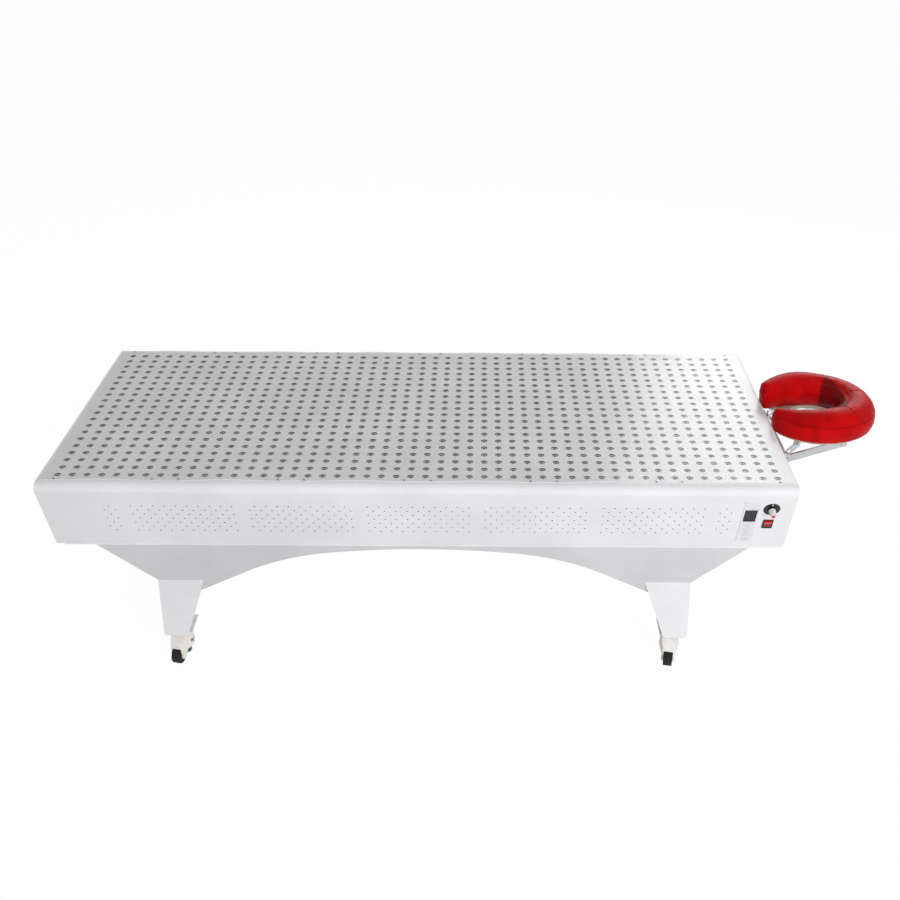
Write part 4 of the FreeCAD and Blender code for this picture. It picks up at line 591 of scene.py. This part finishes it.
def light_plate():
    """The white plate: its field with the holes stands up through the casing's opening to the clear sheet."""
    lo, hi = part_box("reflector_plate")
    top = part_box("cover_sheet")[0].z - SHEET_REST
    middle = (lo + hi) / 2
    half = (LIGHT_COLUMNS * LIGHT_PITCH / 2, LIGHT_ROWS * LIGHT_PITCH / 2)
    rim_half = ((hi.x - lo.x) / 2, (hi.y - lo.y) / 2)
    field_half = [reach - PLATE_LAP for reach in rim_half]
    points, faces, known = [], [], {}

    def index(point):
        key = tuple(round(part, 6) for part in point)
        if key not in known:
            known[key] = len(points)
            points.append(key)
        return known[key]

    for spot in light_spots(top):
        loops = [[index(held_inside(point, middle, field_half)) for point in loop]
                 for loop in plate_loops(spot, top, lo.z)]
        for outer, inner in zip(loops, loops[1:]):
            for side in range(HOLE_SIDES):
                after = (side + 1) % HOLE_SIDES
                faces.append((outer[side], outer[after], inner[after], inner[side]))
    border = edge_points(middle, half)
    for first, second in zip(border, border[1:] + border[:1]):
        corners = [widened(point, middle, half, rim_half) for point in (first, second)]
        inner = [held_inside(point, middle, field_half) for point in (first, second)]
        rim_top = [index((*corner, hi.z)) for corner in corners]
        rim_under = [index((*corner, lo.z)) for corner in corners]
        field_top = [index((*point, top)) for point in inner]
        step_foot = [index((*point, hi.z)) for point in inner]
        field_under = [index((*point, lo.z)) for point in inner]
        faces.append((step_foot[0], step_foot[1], field_top[1], field_top[0]))
        faces.append((rim_top[0], rim_top[1], step_foot[1], step_foot[0]))
        faces.append((rim_under[1], rim_under[0], field_under[0], field_under[1]))
        faces.append((rim_top[1], rim_top[0], rim_under[0], rim_under[1]))
    plate = piece_from("light_plate", points, faces, "bed", "white_paint")
    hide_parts("reflector_plate")


def edge_points(middle, half):
    """The points of the cells along the border of the light field, counter-clockwise."""
    spread_in_cell = [-math.tan(math.pi / 8), 0.0, math.tan(math.pi / 8), 1.0]
    along_x, along_y = [
        [(cell + 0.5 + share / 2) * LIGHT_PITCH for cell in range(count) for share in spread_in_cell]
        for count in (LIGHT_COLUMNS, LIGHT_ROWS)
    ]
    low_x, low_y = middle.x - half[0], middle.y - half[1]
    high_x, high_y = middle.x + half[0], middle.y + half[1]
    near = [(low_x + step, low_y) for step in along_x]
    right = [(high_x, low_y + step) for step in along_y]
    far = [(high_x - step, high_y) for step in along_x]
    left = [(low_x, high_y - step) for step in along_y]
    return near + right + far + left


def held_inside(point, middle, half):
    """A point drawn back into the rectangle round the middle, its height kept."""
    x = min(max(point[0], middle.x - half[0]), middle.x + half[0])
    y = min(max(point[1], middle.y - half[1]), middle.y + half[1])
    return (x, y, *point[2:])


def widened(point, middle, half, rim_half):
    """A border point carried out to the rim of the plate."""
    out = []
    for part, centre, reach, rim in zip(point, middle, half, rim_half):
        on_border = abs(abs(part - centre) - reach) < 0.01 * MM
        out.append(centre + math.copysign(rim, part - centre) if on_border else part)
    return out


def light_parts():
    """Under each hole: a dark cup as painted shade of the hole's wall, a white floor and the dark lens of the
    light.
    """
    board_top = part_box("led_boards")[1].z
    plate_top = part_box("cover_sheet")[0].z - SHEET_REST
    floor = plate_top - CUP_DEPTH
    brim = plate_top - CUP_DROP
    moves = [Matrix.Translation(spot) for spot in light_spots(0)]
    outer = (HOLE_RADIUS - CUP_GAP) * math.cos(math.pi / HOLE_SIDES)
    inner = outer - CUP_WALL
    cup = [(inner, board_top), (outer, board_top), (outer, brim), (inner, brim)]
    base = [(0, board_top), (inner, board_top), (inner, floor), (0, floor)]
    chip = [(0, floor), (CHIP_RADIUS, floor), (CHIP_RADIUS, floor + CHIP_WALL_SHARE * CHIP_HEIGHT),
            (CHIP_SHOULDER_WIDTH * CHIP_RADIUS, floor + CHIP_SHOULDER_SHARE * CHIP_HEIGHT),
            (0, floor + CHIP_HEIGHT)]
    # The black cups are painted shade: they darken the wall of each hole, which is only in shade.
    piece_from("shade_cups", *repeated(*turned(cup, CUP_SIDES), moves), "bed", "black_plastic", True)
    piece_from("light_floors", *repeated(*turned(base, CUP_SIDES), moves), "bed", "board_laminate")
    piece_from("light_lenses", *repeated(*turned(chip, CUP_SIDES), moves), "bed", "black_plastic", True)


def screw_xs():
    middle = (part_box("cover_sheet")[0].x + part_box("cover_sheet")[1].x) / 2
    return sorted(middle + sign * place * MM for place in SCREW_PLACES for sign in (-1, 1))


def sheet_lift(x, from_edge):
    """How far the sheet bows up at a place, none at the screws."""
    xs = screw_xs()
    for left, right in zip(xs, xs[1:]):
        if left <= x <= right:
            wave = math.sin(math.pi * (x - left) / (right - left)) ** 2
            room = min(1.0, (right - left) / SHEET_BOW_SPAN)
            return SHEET_BOW * wave * room * math.exp(-from_edge / SHEET_BOW_REACH)
    return 0.0


def sheet():
    """The clear sheet, bowed between its screws."""
    lo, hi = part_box("cover_sheet")
    half = (hi.y - lo.y) / 2
    near_rows = [lo.y + inset * MM for inset in SHEET_INSETS]
    far_rows = [hi.y - inset * MM for inset in reversed(SHEET_INSETS)]
    rows = near_rows + [(lo.y + hi.y) / 2] + far_rows
    columns = [lo.x + (hi.x - lo.x) * step / SHEET_STEPS for step in range(SHEET_STEPS + 1)]
    points = []
    for thickness in (0.0, SHEET_THICKNESS):
        for x in columns:
            for y in rows:
                rise = sheet_lift(x, half - abs(y - (lo.y + hi.y) / 2))
                points.append((x, y, lo.z + thickness + rise))
    count, layer = len(rows), len(columns) * len(rows)
    faces = []
    for column in range(SHEET_STEPS):
        for row in range(count - 1):
            corner = column * count + row
            under = (corner, corner + 1, corner + count + 1, corner + count)
            faces.append(under)
            faces.append([layer + place for place in under[::-1]])
    border = [column * count for column in range(SHEET_STEPS + 1)]
    border += [SHEET_STEPS * count + row for row in range(1, count)]
    border += [column * count + count - 1 for column in range(SHEET_STEPS - 1, -1, -1)]
    border += [row for row in range(count - 2, 0, -1)]
    for first, second in zip(border, border[1:] + border[:1]):
        faces.append((first, second, second + layer, first + layer))
    cover = piece_from("clear_cover", points, faces, "bed", "clear_sheet")
    rim = cover.data.attributes.new("cut_edge", "FLOAT", "FACE")
    normals = [polygon.normal for polygon in cover.data.polygons]
    rim.data.foreach_set("value", [abs(normal.y) + END_EDGE_SHARE * abs(normal.x) for normal in normals])
    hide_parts("cover_sheet")


def screw_form():
    """A small domed screw with a four-armed recess, standing up along Z."""
    sides = SCREW_SIDES
    dome_radius = SCREW_DOME_WIDTH * SCREW_RADIUS
    rim = [(SCREW_RADIUS, 0.0), (SCREW_RADIUS, SCREW_RIM_HEIGHT), (dome_radius, SCREW_DOME_HEIGHT)]
    points = []
    for radius, height in rim:
        for side in range(sides):
            angle = FULL_TURN * side / sides
            points.append((radius * math.cos(angle), radius * math.sin(angle), height))
    for height in (SCREW_TOP_HEIGHT, RECESS_FLOOR):
        for side in range(sides):
            angle = FULL_TURN * side / sides
            radius = RECESS_WIDTH * SCREW_RADIUS * RECESS_ARMS[side % len(RECESS_ARMS)]
            points.append((radius * math.cos(angle), radius * math.sin(angle), height))
    faces = [tuple(range(sides - 1, -1, -1)), tuple(range(4 * sides, 5 * sides))]
    for ring in range(4):
        for side in range(sides):
            after = (side + 1) % sides
            faces.append((ring * sides + side, ring * sides + after, (ring + 1) * sides + after,
                          (ring + 1) * sides + side))
    return points, faces


def sheet_screws():
    lo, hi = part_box("cover_sheet")
    top = lo.z + SHEET_THICKNESS
    edges = (lo.y + SCREW_INSET, hi.y - SCREW_INSET)
    moves = [Matrix.Translation((x, y, top)) for x in screw_xs() for y in edges]
    piece_from("cover_screws", *repeated(*screw_form(), moves), "bed", "zinc_steel")


def pan_screws():
    """Screws up through the rim of the tray."""
    lo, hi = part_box("bottom_pan")
    count = int((hi.x - lo.x) / PAN_SCREW_PITCH)
    over = Matrix.Rotation(math.pi, 4, "X")
    edges = (lo.y + PAN_SCREW_INSET, hi.y - PAN_SCREW_INSET)
    moves = []
    for step in range(count + 1):
        x = lo.x + PAN_SCREW_INSET + (hi.x - lo.x - 2 * PAN_SCREW_INSET) * step / count
        moves += [Matrix.Translation((x, y, lo.z)) @ over for y in edges]
    piece_from("pan_screws", *repeated(*screw_form(), moves), "bed", "zinc_steel")


def caster_bolts():
    """Four bolts with six-sided heads under each caster plate."""
    lo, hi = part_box("caster_plates")
    half = PLATE_SIZE / 2
    head = [(0, 0), (BOLT_BEVEL_WIDTH * BOLT_RADIUS, 0), (BOLT_RADIUS, BOLT_BEVEL_HEIGHT * BOLT_HEIGHT),
            (BOLT_RADIUS, BOLT_HEIGHT), (0, BOLT_HEIGHT)]
    reach = half - BOLT_INSET
    corners = [(x, y) for x in (-reach, reach) for y in (-reach, reach)]
    under = hi.z - PLATE_THICKNESS - BOLT_HEIGHT
    moves = []
    for plate_x in (lo.x + half, hi.x - half):
        for plate_y in (lo.y + half, hi.y - half):
            moves += [Matrix.Translation((plate_x + x, plate_y + y, under)) for x, y in corners]
    piece_from("caster_bolts", *repeated(*turned(head, BOLT_SIDES), moves), "bed", "zinc_steel")


# Details of the controls

def on_slope(node, up=0.0, out=0.0):
    """A frame on the sloped front: X along the bed, Y up the slope, Z outwards from the middle of a node."""
    lo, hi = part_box(node)
    spot = (lo + hi) / 2 + SLOPE_UP * up + SLOPE_OUT * out
    return Matrix.Translation(spot) @ Matrix((Vector((1, 0, 0)), SLOPE_UP, SLOPE_OUT)).transposed().to_4x4()


def vent_spots():
    """Places along the bed and down the slope."""
    first = -(VENT_GROUPS // 2) * VENT_GROUP_PITCH
    groups = [(first + index * VENT_GROUP_PITCH, VENT_COLUMNS, index) for index in range(VENT_GROUPS)]
    groups += [(end * VENT_END, VENT_END_COLUMNS, 1) for end in (-1, 1)]
    for middle, longest, shift in groups:
        for row in range(VENT_ROWS):
            count = longest - (row + shift) % 2
            for column in range(count):
                yield middle + (column - (count - 1) / 2) * VENT_PITCH, VENT_FIRST_SLOPE + row * VENT_ROW_GAP


def vent_shade_tubes():
    """Dark tubes in the vents: painted shade of the holes."""
    lo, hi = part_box("front_panel")
    start_y = lo.y + ROLL_RADIUS * (1 - math.cos(SLOPE_LEAN))
    start_z = hi.z - ROLL_RADIUS * (1 + math.sin(SLOPE_LEAN))
    tilt = Matrix((Vector((1, 0, 0)), SLOPE_UP, SLOPE_OUT)).transposed().to_4x4()
    inner = VENT_RADIUS - VENT_WALL
    profile = [(inner, -VENT_DEPTH), (VENT_RADIUS, -VENT_DEPTH), (VENT_RADIUS, 0), (inner, 0)]
    moves = []
    for along, slope in vent_spots():
        spot = Vector(((lo.x + hi.x) / 2 + along, start_y, start_z)) - SLOPE_UP * slope
        moves.append(Matrix.Translation(spot) @ tilt)
    # Painted shade: dark tubes darken each vent hole.
    piece_from("vent_shade_tubes", *repeated(*turned(profile, VENT_SIDES), moves), "bed", "black_plastic")


def frame_form(size, width, height):
    """A rectangular frame with bevelled edges."""
    bevel = height / 2
    rings = ((0, 0), (bevel, height), (width - bevel, height), (width, 0))
    points = []
    for inset, level in rings:
        half = size / 2 - Vector((inset, inset))
        corners = ((-half.x, -half.y), (half.x, -half.y), (half.x, half.y), (-half.x, half.y))
        points += [(*corner, level) for corner in corners]
    faces = []
    for ring in range(4):
        low, high = 4 * ring, 4 * ((ring + 1) % 4)
        faces += [(low + side, low + (side + 1) % 4, high + (side + 1) % 4, high + side) for side in range(4)]
    return points, faces


def display_frame():
    place = on_slope("keypad_plate", DISPLAY_UP, KEYPAD_HALF_THICKNESS)
    piece_from("display_frame", *repeated(*frame_form(DISPLAY_SIZE, DISPLAY_FRAME, FRAME_HEIGHT), [place]),
               "bed", "black_plastic")


def key_rings():
    """A faint ring on each key."""
    outer, inner = KEY_RING_RADIUS, KEY_RING_RADIUS - KEY_RING_WIDTH
    profile = [(inner, 0), (outer, 0), (outer - MARK_BEVEL, MARK_HEIGHT), (inner + MARK_BEVEL, MARK_HEIGHT)]
    for number in range(1, KEY_COUNT + 1):
        up = DISPLAY_UP - KEY_FIRST_DROP - (number - 1) * KEY_PITCH
        place = on_slope("keypad_plate", up, KEYPAD_HALF_THICKNESS + KEY_PROUD)
        points, faces = repeated(*turned(profile, KEY_RING_SIDES), [place])
        piece_from(f"key_ring_{number}", points, faces, f"key_{number}", "control_metal")


def dial_tick():
    place = on_slope("dial_plate", TICK_UP, DIAL_HALF_THICKNESS)
    half = TICK_SIZE / 2
    inner = half - Vector((MARK_BEVEL, MARK_BEVEL))
    points = []
    for reach, level in ((half, 0), (inner, MARK_HEIGHT)):
        narrow = TICK_TAPER * reach.x
        points += [(-reach.x, -reach.y, level), (reach.x, -reach.y, level),
                   (narrow, reach.y, level), (-narrow, reach.y, level)]
    faces = [(3, 2, 1, 0), (4, 5, 6, 7)]
    faces += [(side, (side + 1) % 4, 4 + (side + 1) % 4, 4 + side) for side in range(4)]
    piece_from("dial_tick", *repeated(points, faces, [place]), "bed", "pale_plastic")


# The cushion of the face cradle

def select_only(piece):
    bpy.ops.object.select_all(action="DESELECT")
    piece.select_set(True)
    bpy.context.view_layer.objects.active = piece


def apply_modifier(piece, name):
    select_only(piece)
    bpy.ops.object.modifier_apply(modifier=name)


def vertex_places(mesh):
    flat = np.empty(len(mesh.vertices) * 3, np.float32)
    mesh.vertices.foreach_get("co", flat)
    return flat.reshape(-1, 3)


def put_vertices(mesh, where):
    mesh.vertices.foreach_set("co", np.asarray(where, np.float32).ravel())
    mesh.update()


def vertex_normals(mesh):
    flat = np.empty(len(mesh.vertices) * 3, np.float32)
    mesh.vertex_normals.foreach_get("vector", flat)
    return flat.reshape(-1, 3)


def remeshed_pad():
    """A copy of the pad's solid, evenly meshed, its far arm stuffed a little and the rest drawn in."""
    mesh = nodes["headrest_pad"].data.copy()
    pad = bpy.data.objects.new("face_cushion", mesh)
    bpy.context.scene.collection.objects.link(pad)
    remesh = pad.modifiers.new("even", "REMESH")
    remesh.mode = "VOXEL"
    remesh.voxel_size = PAD_VOXEL
    apply_modifier(pad, "even")
    start_places = vertex_places(pad.data)
    bottom = start_places[:, 2].min()
    middle = pad_middle()
    arm = 1 - smooth_step(-PAD_ARM_BLEND, PAD_ARM_BLEND, start_places[:, 0] - middle.x)
    far = smooth_step(-PAD_ARM_BLEND, PAD_ARM_BLEND, start_places[:, 1] - middle.y)
    on_arm = PAD_NEAR_STUFFING + (PAD_FAR_STUFFING - PAD_NEAR_STUFFING) * far
    amount = PAD_CROWN_STUFFING + (on_arm - PAD_CROWN_STUFFING) * arm
    stuffed = start_places + amount[:, None] * vertex_normals(pad.data)
    stuffed[:, 2] = np.maximum(stuffed[:, 2], bottom)
    put_vertices(pad.data, stuffed)
    return pad


def swell(pad):
    """Cloth under pressure, held flat where it rests on its board."""
    before = vertex_places(pad.data).copy()
    bottom = before[:, 2].min()
    held = pad.vertex_groups.new(name="held")
    held.add([int(at) for at in np.nonzero(before[:, 2] < bottom + PAD_FLAT)[0]], 1.0, "REPLACE")
    cloth = pad.modifiers.new("cloth", "CLOTH")
    cloth.settings.use_pressure = True
    cloth.settings.uniform_pressure_force = PAD_PRESSURE
    cloth.settings.effector_weights.gravity = 0
    cloth.settings.vertex_group_mass = "held"
    cloth.settings.quality = PAD_QUALITY
    cloth.settings.mass = PAD_MASS
    cloth.settings.tension_stiffness = PAD_STIFFNESS
    cloth.settings.compression_stiffness = PAD_STIFFNESS
    cloth.settings.shear_stiffness = PAD_STIFFNESS / 2
    cloth.settings.bending_stiffness = PAD_BENDING
    cloth.point_cache.frame_start = 1
    cloth.point_cache.frame_end = PAD_FRAMES
    for step in range(1, PAD_FRAMES + 1):
        bpy.context.scene.frame_set(step)
    apply_modifier(pad, "cloth")
    after = vertex_places(pad.data)
    moved = after - before
    length = np.linalg.norm(moved, axis=1, keepdims=True)
    fuller = before + moved * np.minimum(1.0, PAD_SWELL_LIMIT / np.maximum(length, 1e-9))
    sheet_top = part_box("cover_sheet")[1].z
    over = smooth_step(sheet_top + PAD_FLAT, sheet_top + PAD_END_RISE, fuller[:, 2])
    room = PAD_END_ROOM + (PAD_END_OVERHANG - PAD_END_ROOM) * over
    fuller[:, 0] = np.maximum(fuller[:, 0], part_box("headrest_pad")[0].x - room)
    put_vertices(pad.data, fuller)


def smooth_step(low, high, amounts):
    share = np.clip((amounts - low) / (high - low), 0.0, 1.0)
    return share * share * (3 - 2 * share)


def pad_middle():
    """The middle of the face hole, under the cushion."""
    lo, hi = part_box("headrest_pad")
    return Vector((hi.x - PAD_TIP_RADIUS, (lo.y + hi.y) / 2, lo.z))


def seam_distances(where, normals):
    """How far each place is from the nearest seam, and its run along that seam."""
    middle = pad_middle()
    across, along = where[:, 0] - middle.x, where[:, 1] - middle.y
    radius = np.hypot(across, along)
    height = where[:, 2] - middle.z
    outward = (normals[:, 0] * across + normals[:, 1] * along) / np.maximum(radius, 1e-6)
    end_face = normals[:, 0] < END_FACE_TURN
    on_band = ((outward > BAND_OUTWARD) | end_face) & (radius > BAND_INNER_RADIUS)
    distance = np.where(on_band, np.abs(height - PAD_SEAM_HEIGHT), NO_SEAM)
    run = radius * np.arctan2(along, across)
    upper = (height > PAD_SEAM_HEIGHT - SEAM_WIDTH) | (outward < BAND_INWARD)
    for angle in PANEL_SEAMS:
        ahead = np.array([math.cos(math.radians(angle)), math.sin(math.radians(angle))])
        forward = across * ahead[0] + along * ahead[1]
        aside = np.abs(along * ahead[0] - across * ahead[1])
        aside = np.where(upper & (forward > 0), aside, NO_SEAM)
        run = np.where(aside < distance, radius, run)
        distance = np.minimum(distance, aside)
    return distance, run


def inner_shade(where):
    """Painted shade: one on the panel inside the crown between the outer two panel seams, falling to zero at
    its edges.
    """
    middle = pad_middle()
    across, along = where[:, 0] - middle.x, where[:, 1] - middle.y
    radius, angle = np.hypot(across, along), np.degrees(np.arctan2(along, across))
    edge = INNER_EDGE + INNER_EDGE_RISE * (angle / INNER_EDGE_ANGLE) ** 2
    inside = 1 - smooth_step(-INNER_EDGE_BLUR, INNER_EDGE_BLUR, radius - edge)
    far_seam, near_seam = PANEL_SEAMS[0], PANEL_SEAMS[-1]
    past_near = smooth_step(near_seam - NEAR_SEAM_BLUR, near_seam + NEAR_SEAM_BLUR, angle)
    before_far = 1 - smooth_step(far_seam - FAR_SEAM_BLUR, far_seam + FAR_SEAM_BLUR, angle)
    return inside * past_near * before_far


def sew(pad):
    """Draws the cover in along its seams, with small puckers beside them, and paints shade into the seams and
    onto the panel inside the crown.
    """
    where, normals = vertex_places(pad.data), vertex_normals(pad.data)
    distance, run = seam_distances(where, normals)
    groove = np.exp(-(distance / SEAM_WIDTH) ** 2)
    pucker = np.sin(FULL_TURN * run / PUCKER_PITCH) * np.exp(-(distance / PUCKER_REACH) ** 2)
    depth = SEAM_DEPTH * groove + PUCKER_DEPTH * pucker * (1 - groove)
    put_vertices(pad.data, where - normals * depth[:, None])
    # Painted shade, kept on the points: darker in the seam grooves and on the panel inside the crown.
    painted_shade = pad.data.attributes.new("painted_shade", "FLOAT", "POINT")
    shade = np.maximum(SEAM_SHADE * groove, INNER_SHADE * inner_shade(where))
    painted_shade.data.foreach_set("value", shade.astype(np.float32))


def stitch_form():
    """One stitch: a short thread along X with tapered ends."""
    half = STITCH_LENGTH / 2
    thin = STITCH_TAPER * STITCH_RADIUS
    full_reach, thin_reach = STITCH_TAPER_START * half, STITCH_TAPER_END * half
    profile = [(0, -half), (thin, -thin_reach), (STITCH_RADIUS, -full_reach),
               (STITCH_RADIUS, full_reach), (thin, thin_reach), (0, half)]
    points, faces = turned(profile, STITCH_SIDES)
    lying = Matrix.Rotation(math.pi / 2, 4, "Y")
    return [lying @ Vector(point) for point in points], faces


def stitch_moves(tree):
    """Places of the stitches: two rows beside each panel seam and one above the band seam."""
    middle = pad_middle()
    for angle in PANEL_SEAMS:
        ahead = Vector((math.cos(math.radians(angle)), math.sin(math.radians(angle)), 0))
        aside = Vector((-ahead.y, ahead.x, 0))
        for step in range(round(STITCH_ROW_LENGTH / STITCH_PITCH)):
            for side in (-STITCH_OFFSET, STITCH_OFFSET):
                over = middle + ahead * (STITCH_ROW_START + step * STITCH_PITCH) + aside * side
                over.z += STITCH_RAY_START
                spot, normal, _, _ = tree.ray_cast(over, Vector((0, 0, -1)))
                if spot is not None:
                    yield lying_on(spot, normal, ahead)
    for step in range(round(2 * STITCH_BAND_TURN * PAD_TIP_RADIUS / STITCH_PITCH)):
        angle = -STITCH_BAND_TURN + step * STITCH_PITCH / PAD_TIP_RADIUS
        out = Vector((math.cos(angle), math.sin(angle), 0))
        start_at = middle + out * STITCH_RAY_START + Vector((0, 0, PAD_SEAM_HEIGHT + STITCH_OFFSET))
        spot, normal, _, _ = tree.ray_cast(start_at, -out)
        if spot is not None:
            yield lying_on(spot, normal, Vector((-out.y, out.x, 0)))


def lying_on(spot, normal, ahead):
    """A matrix that lays X along a direction on a surface, with Z along its normal."""
    along = (ahead - normal * ahead.dot(normal)).normalized()
    side = normal.cross(along)
    return Matrix.Translation(spot) @ Matrix((along, side, normal)).transposed().to_4x4()


def stitches(pad):
    pad.data.update()
    tree = BVHTree.FromPolygons([vertex.co for vertex in pad.data.vertices],
                                [polygon.vertices for polygon in pad.data.polygons])
    piece_from("cushion_stitches", *repeated(*stitch_form(), list(stitch_moves(tree))),
               "cradle_platform", "red_leather", True)


def cushion():
    pad = remeshed_pad()
    swell(pad)
    smooth = pad.modifiers.new("round", "SUBSURF")
    smooth.levels = smooth.render_levels = 1
    apply_modifier(pad, "round")
    pad.data.materials.clear()
    pad.data.materials.append(MATERIALS["red_leather"])
    sew(pad)
    pad.data.shade_smooth()
    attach(pad, "cradle_platform")
    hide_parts("headrest_pad")
    stitches(pad)


# Stage

def make_camera():
    turn = Matrix.Rotation(CAMERA_YAW, 3, "Z")
    right = turn @ Vector((1, 0, 0))
    up = turn @ Vector((0, math.sin(CAMERA_PITCH), math.cos(CAMERA_PITCH)))
    ahead = turn @ Vector((0, math.cos(CAMERA_PITCH), -math.sin(CAMERA_PITCH)))
    across = math.cos(CAMERA_ROLL) * right + math.sin(CAMERA_ROLL) * up
    upright = -math.sin(CAMERA_ROLL) * right + math.cos(CAMERA_ROLL) * up
    data = bpy.data.cameras.new("camera")
    data.lens = CAMERA_LENS
    data.sensor_width = CAMERA_SENSOR
    data.shift_x = CAMERA_SHIFT
    camera = bpy.data.objects.new("camera", data)
    bpy.context.scene.collection.objects.link(camera)
    axes = Matrix((across, upright, -ahead)).transposed()
    camera.matrix_world = Matrix.Translation(CAMERA_PLACE) @ axes.to_4x4()
    bpy.context.scene.camera = camera


def seen_directly(tree):
    """One for rays straight from the camera, a share for rays by gloss, else zero."""
    path = add(tree, "ShaderNodeLightPath")
    gloss = add(tree, "ShaderNodeMath", operation="MULTIPLY")
    gloss.inputs[1].default_value = GLOSS_SHARE
    tree.links.new(path.outputs["Is Glossy Ray"], gloss.inputs[0])
    either = add(tree, "ShaderNodeMath", operation="MAXIMUM")
    tree.links.new(path.outputs["Is Camera Ray"], either.inputs[0])
    tree.links.new(gloss.outputs["Value"], either.inputs[1])
    return either.outputs["Value"]


def make_floor():
    """A white floor that still takes the bed's shadow."""
    mesh = bpy.data.meshes.new("floor")
    reach = FLOOR_REACH
    corners = [(-reach, -reach, 0), (reach, -reach, 0), (reach, reach, 0), (-reach, reach, 0)]
    mesh.from_pydata(corners, [], [(0, 1, 2, 3)])
    floor = bpy.data.objects.new("floor", mesh)
    bpy.context.scene.collection.objects.link(floor)
    material = bpy.data.materials.new("floor_white")
    material.use_nodes = True
    tree = material.node_tree
    tree.nodes.remove(tree.nodes["Principled BSDF"])
    matt = add(tree, "ShaderNodeBsdfDiffuse", {"Color": tone(232, 232, 233)})
    bright = add(tree, "ShaderNodeEmission", {"Strength": FLOOR_GLOW})
    share = add(tree, "ShaderNodeMath", operation="MULTIPLY")
    share.inputs[1].default_value = FLOOR_WHITE
    tree.links.new(seen_directly(tree), share.inputs[0])
    mix = add(tree, "ShaderNodeMixShader")
    tree.links.new(share.outputs["Value"], mix.inputs["Fac"])
    tree.links.new(matt.outputs["BSDF"], mix.inputs[1])
    tree.links.new(bright.outputs["Emission"], mix.inputs[2])
    tree.links.new(mix.outputs["Shader"], tree.nodes["Material Output"].inputs["Surface"])
    mesh.materials.append(material)


def make_world():
    world = bpy.data.worlds.new("studio")
    bpy.context.scene.world = world
    world.use_nodes = True
    tree = world.node_tree
    shown = add(tree, "ShaderNodeBackground", {"Strength": 1.0, "Color": (1, 1, 1, 1)})
    lit = tree.nodes["Background"]
    lit.inputs["Color"].default_value = (1, 1, 1, 1)
    lit.inputs["Strength"].default_value = WORLD_LIGHT
    mix = add(tree, "ShaderNodeMixShader")
    tree.links.new(seen_directly(tree), mix.inputs["Fac"])
    tree.links.new(lit.outputs["Background"], mix.inputs[1])
    tree.links.new(shown.outputs["Background"], mix.inputs[2])
    tree.links.new(mix.outputs["Shader"], tree.nodes["World Output"].inputs["Surface"])


def make_lamp(name, place, target, size, power, mirrored=True):
    """A soft lamp aimed at a target; one that isn't mirrored shows in no reflection."""
    data = bpy.data.lights.new(name, "AREA")
    data.shape = "RECTANGLE"
    data.size, data.size_y = size
    data.energy = power
    lamp = bpy.data.objects.new(name, data)
    bpy.context.scene.collection.objects.link(lamp)
    lamp.visible_glossy = mirrored
    aim = (Vector(target) - Vector(place)).to_track_quat("-Z", "Y")
    lamp.matrix_world = Matrix.Translation(place) @ aim.to_matrix().to_4x4()


def make_light():
    make_world()
    make_lamp("key", KEY_PLACE, KEY_TARGET, KEY_SIZE, KEY_POWER, mirrored=False)
    make_lamp("window", WINDOW_PLACE, WINDOW_TARGET, WINDOW_SIZE, WINDOW_POWER)


bpy.context.scene.view_settings.view_transform = "Standard"
dress_nodes()
make_camera()
make_floor()
make_light()
light_plate()
light_parts()
sheet()
sheet_screws()
pan_screws()
caster_bolts()
vent_shade_tubes()
display_frame()
key_rings()
dial_tick()
cushion()
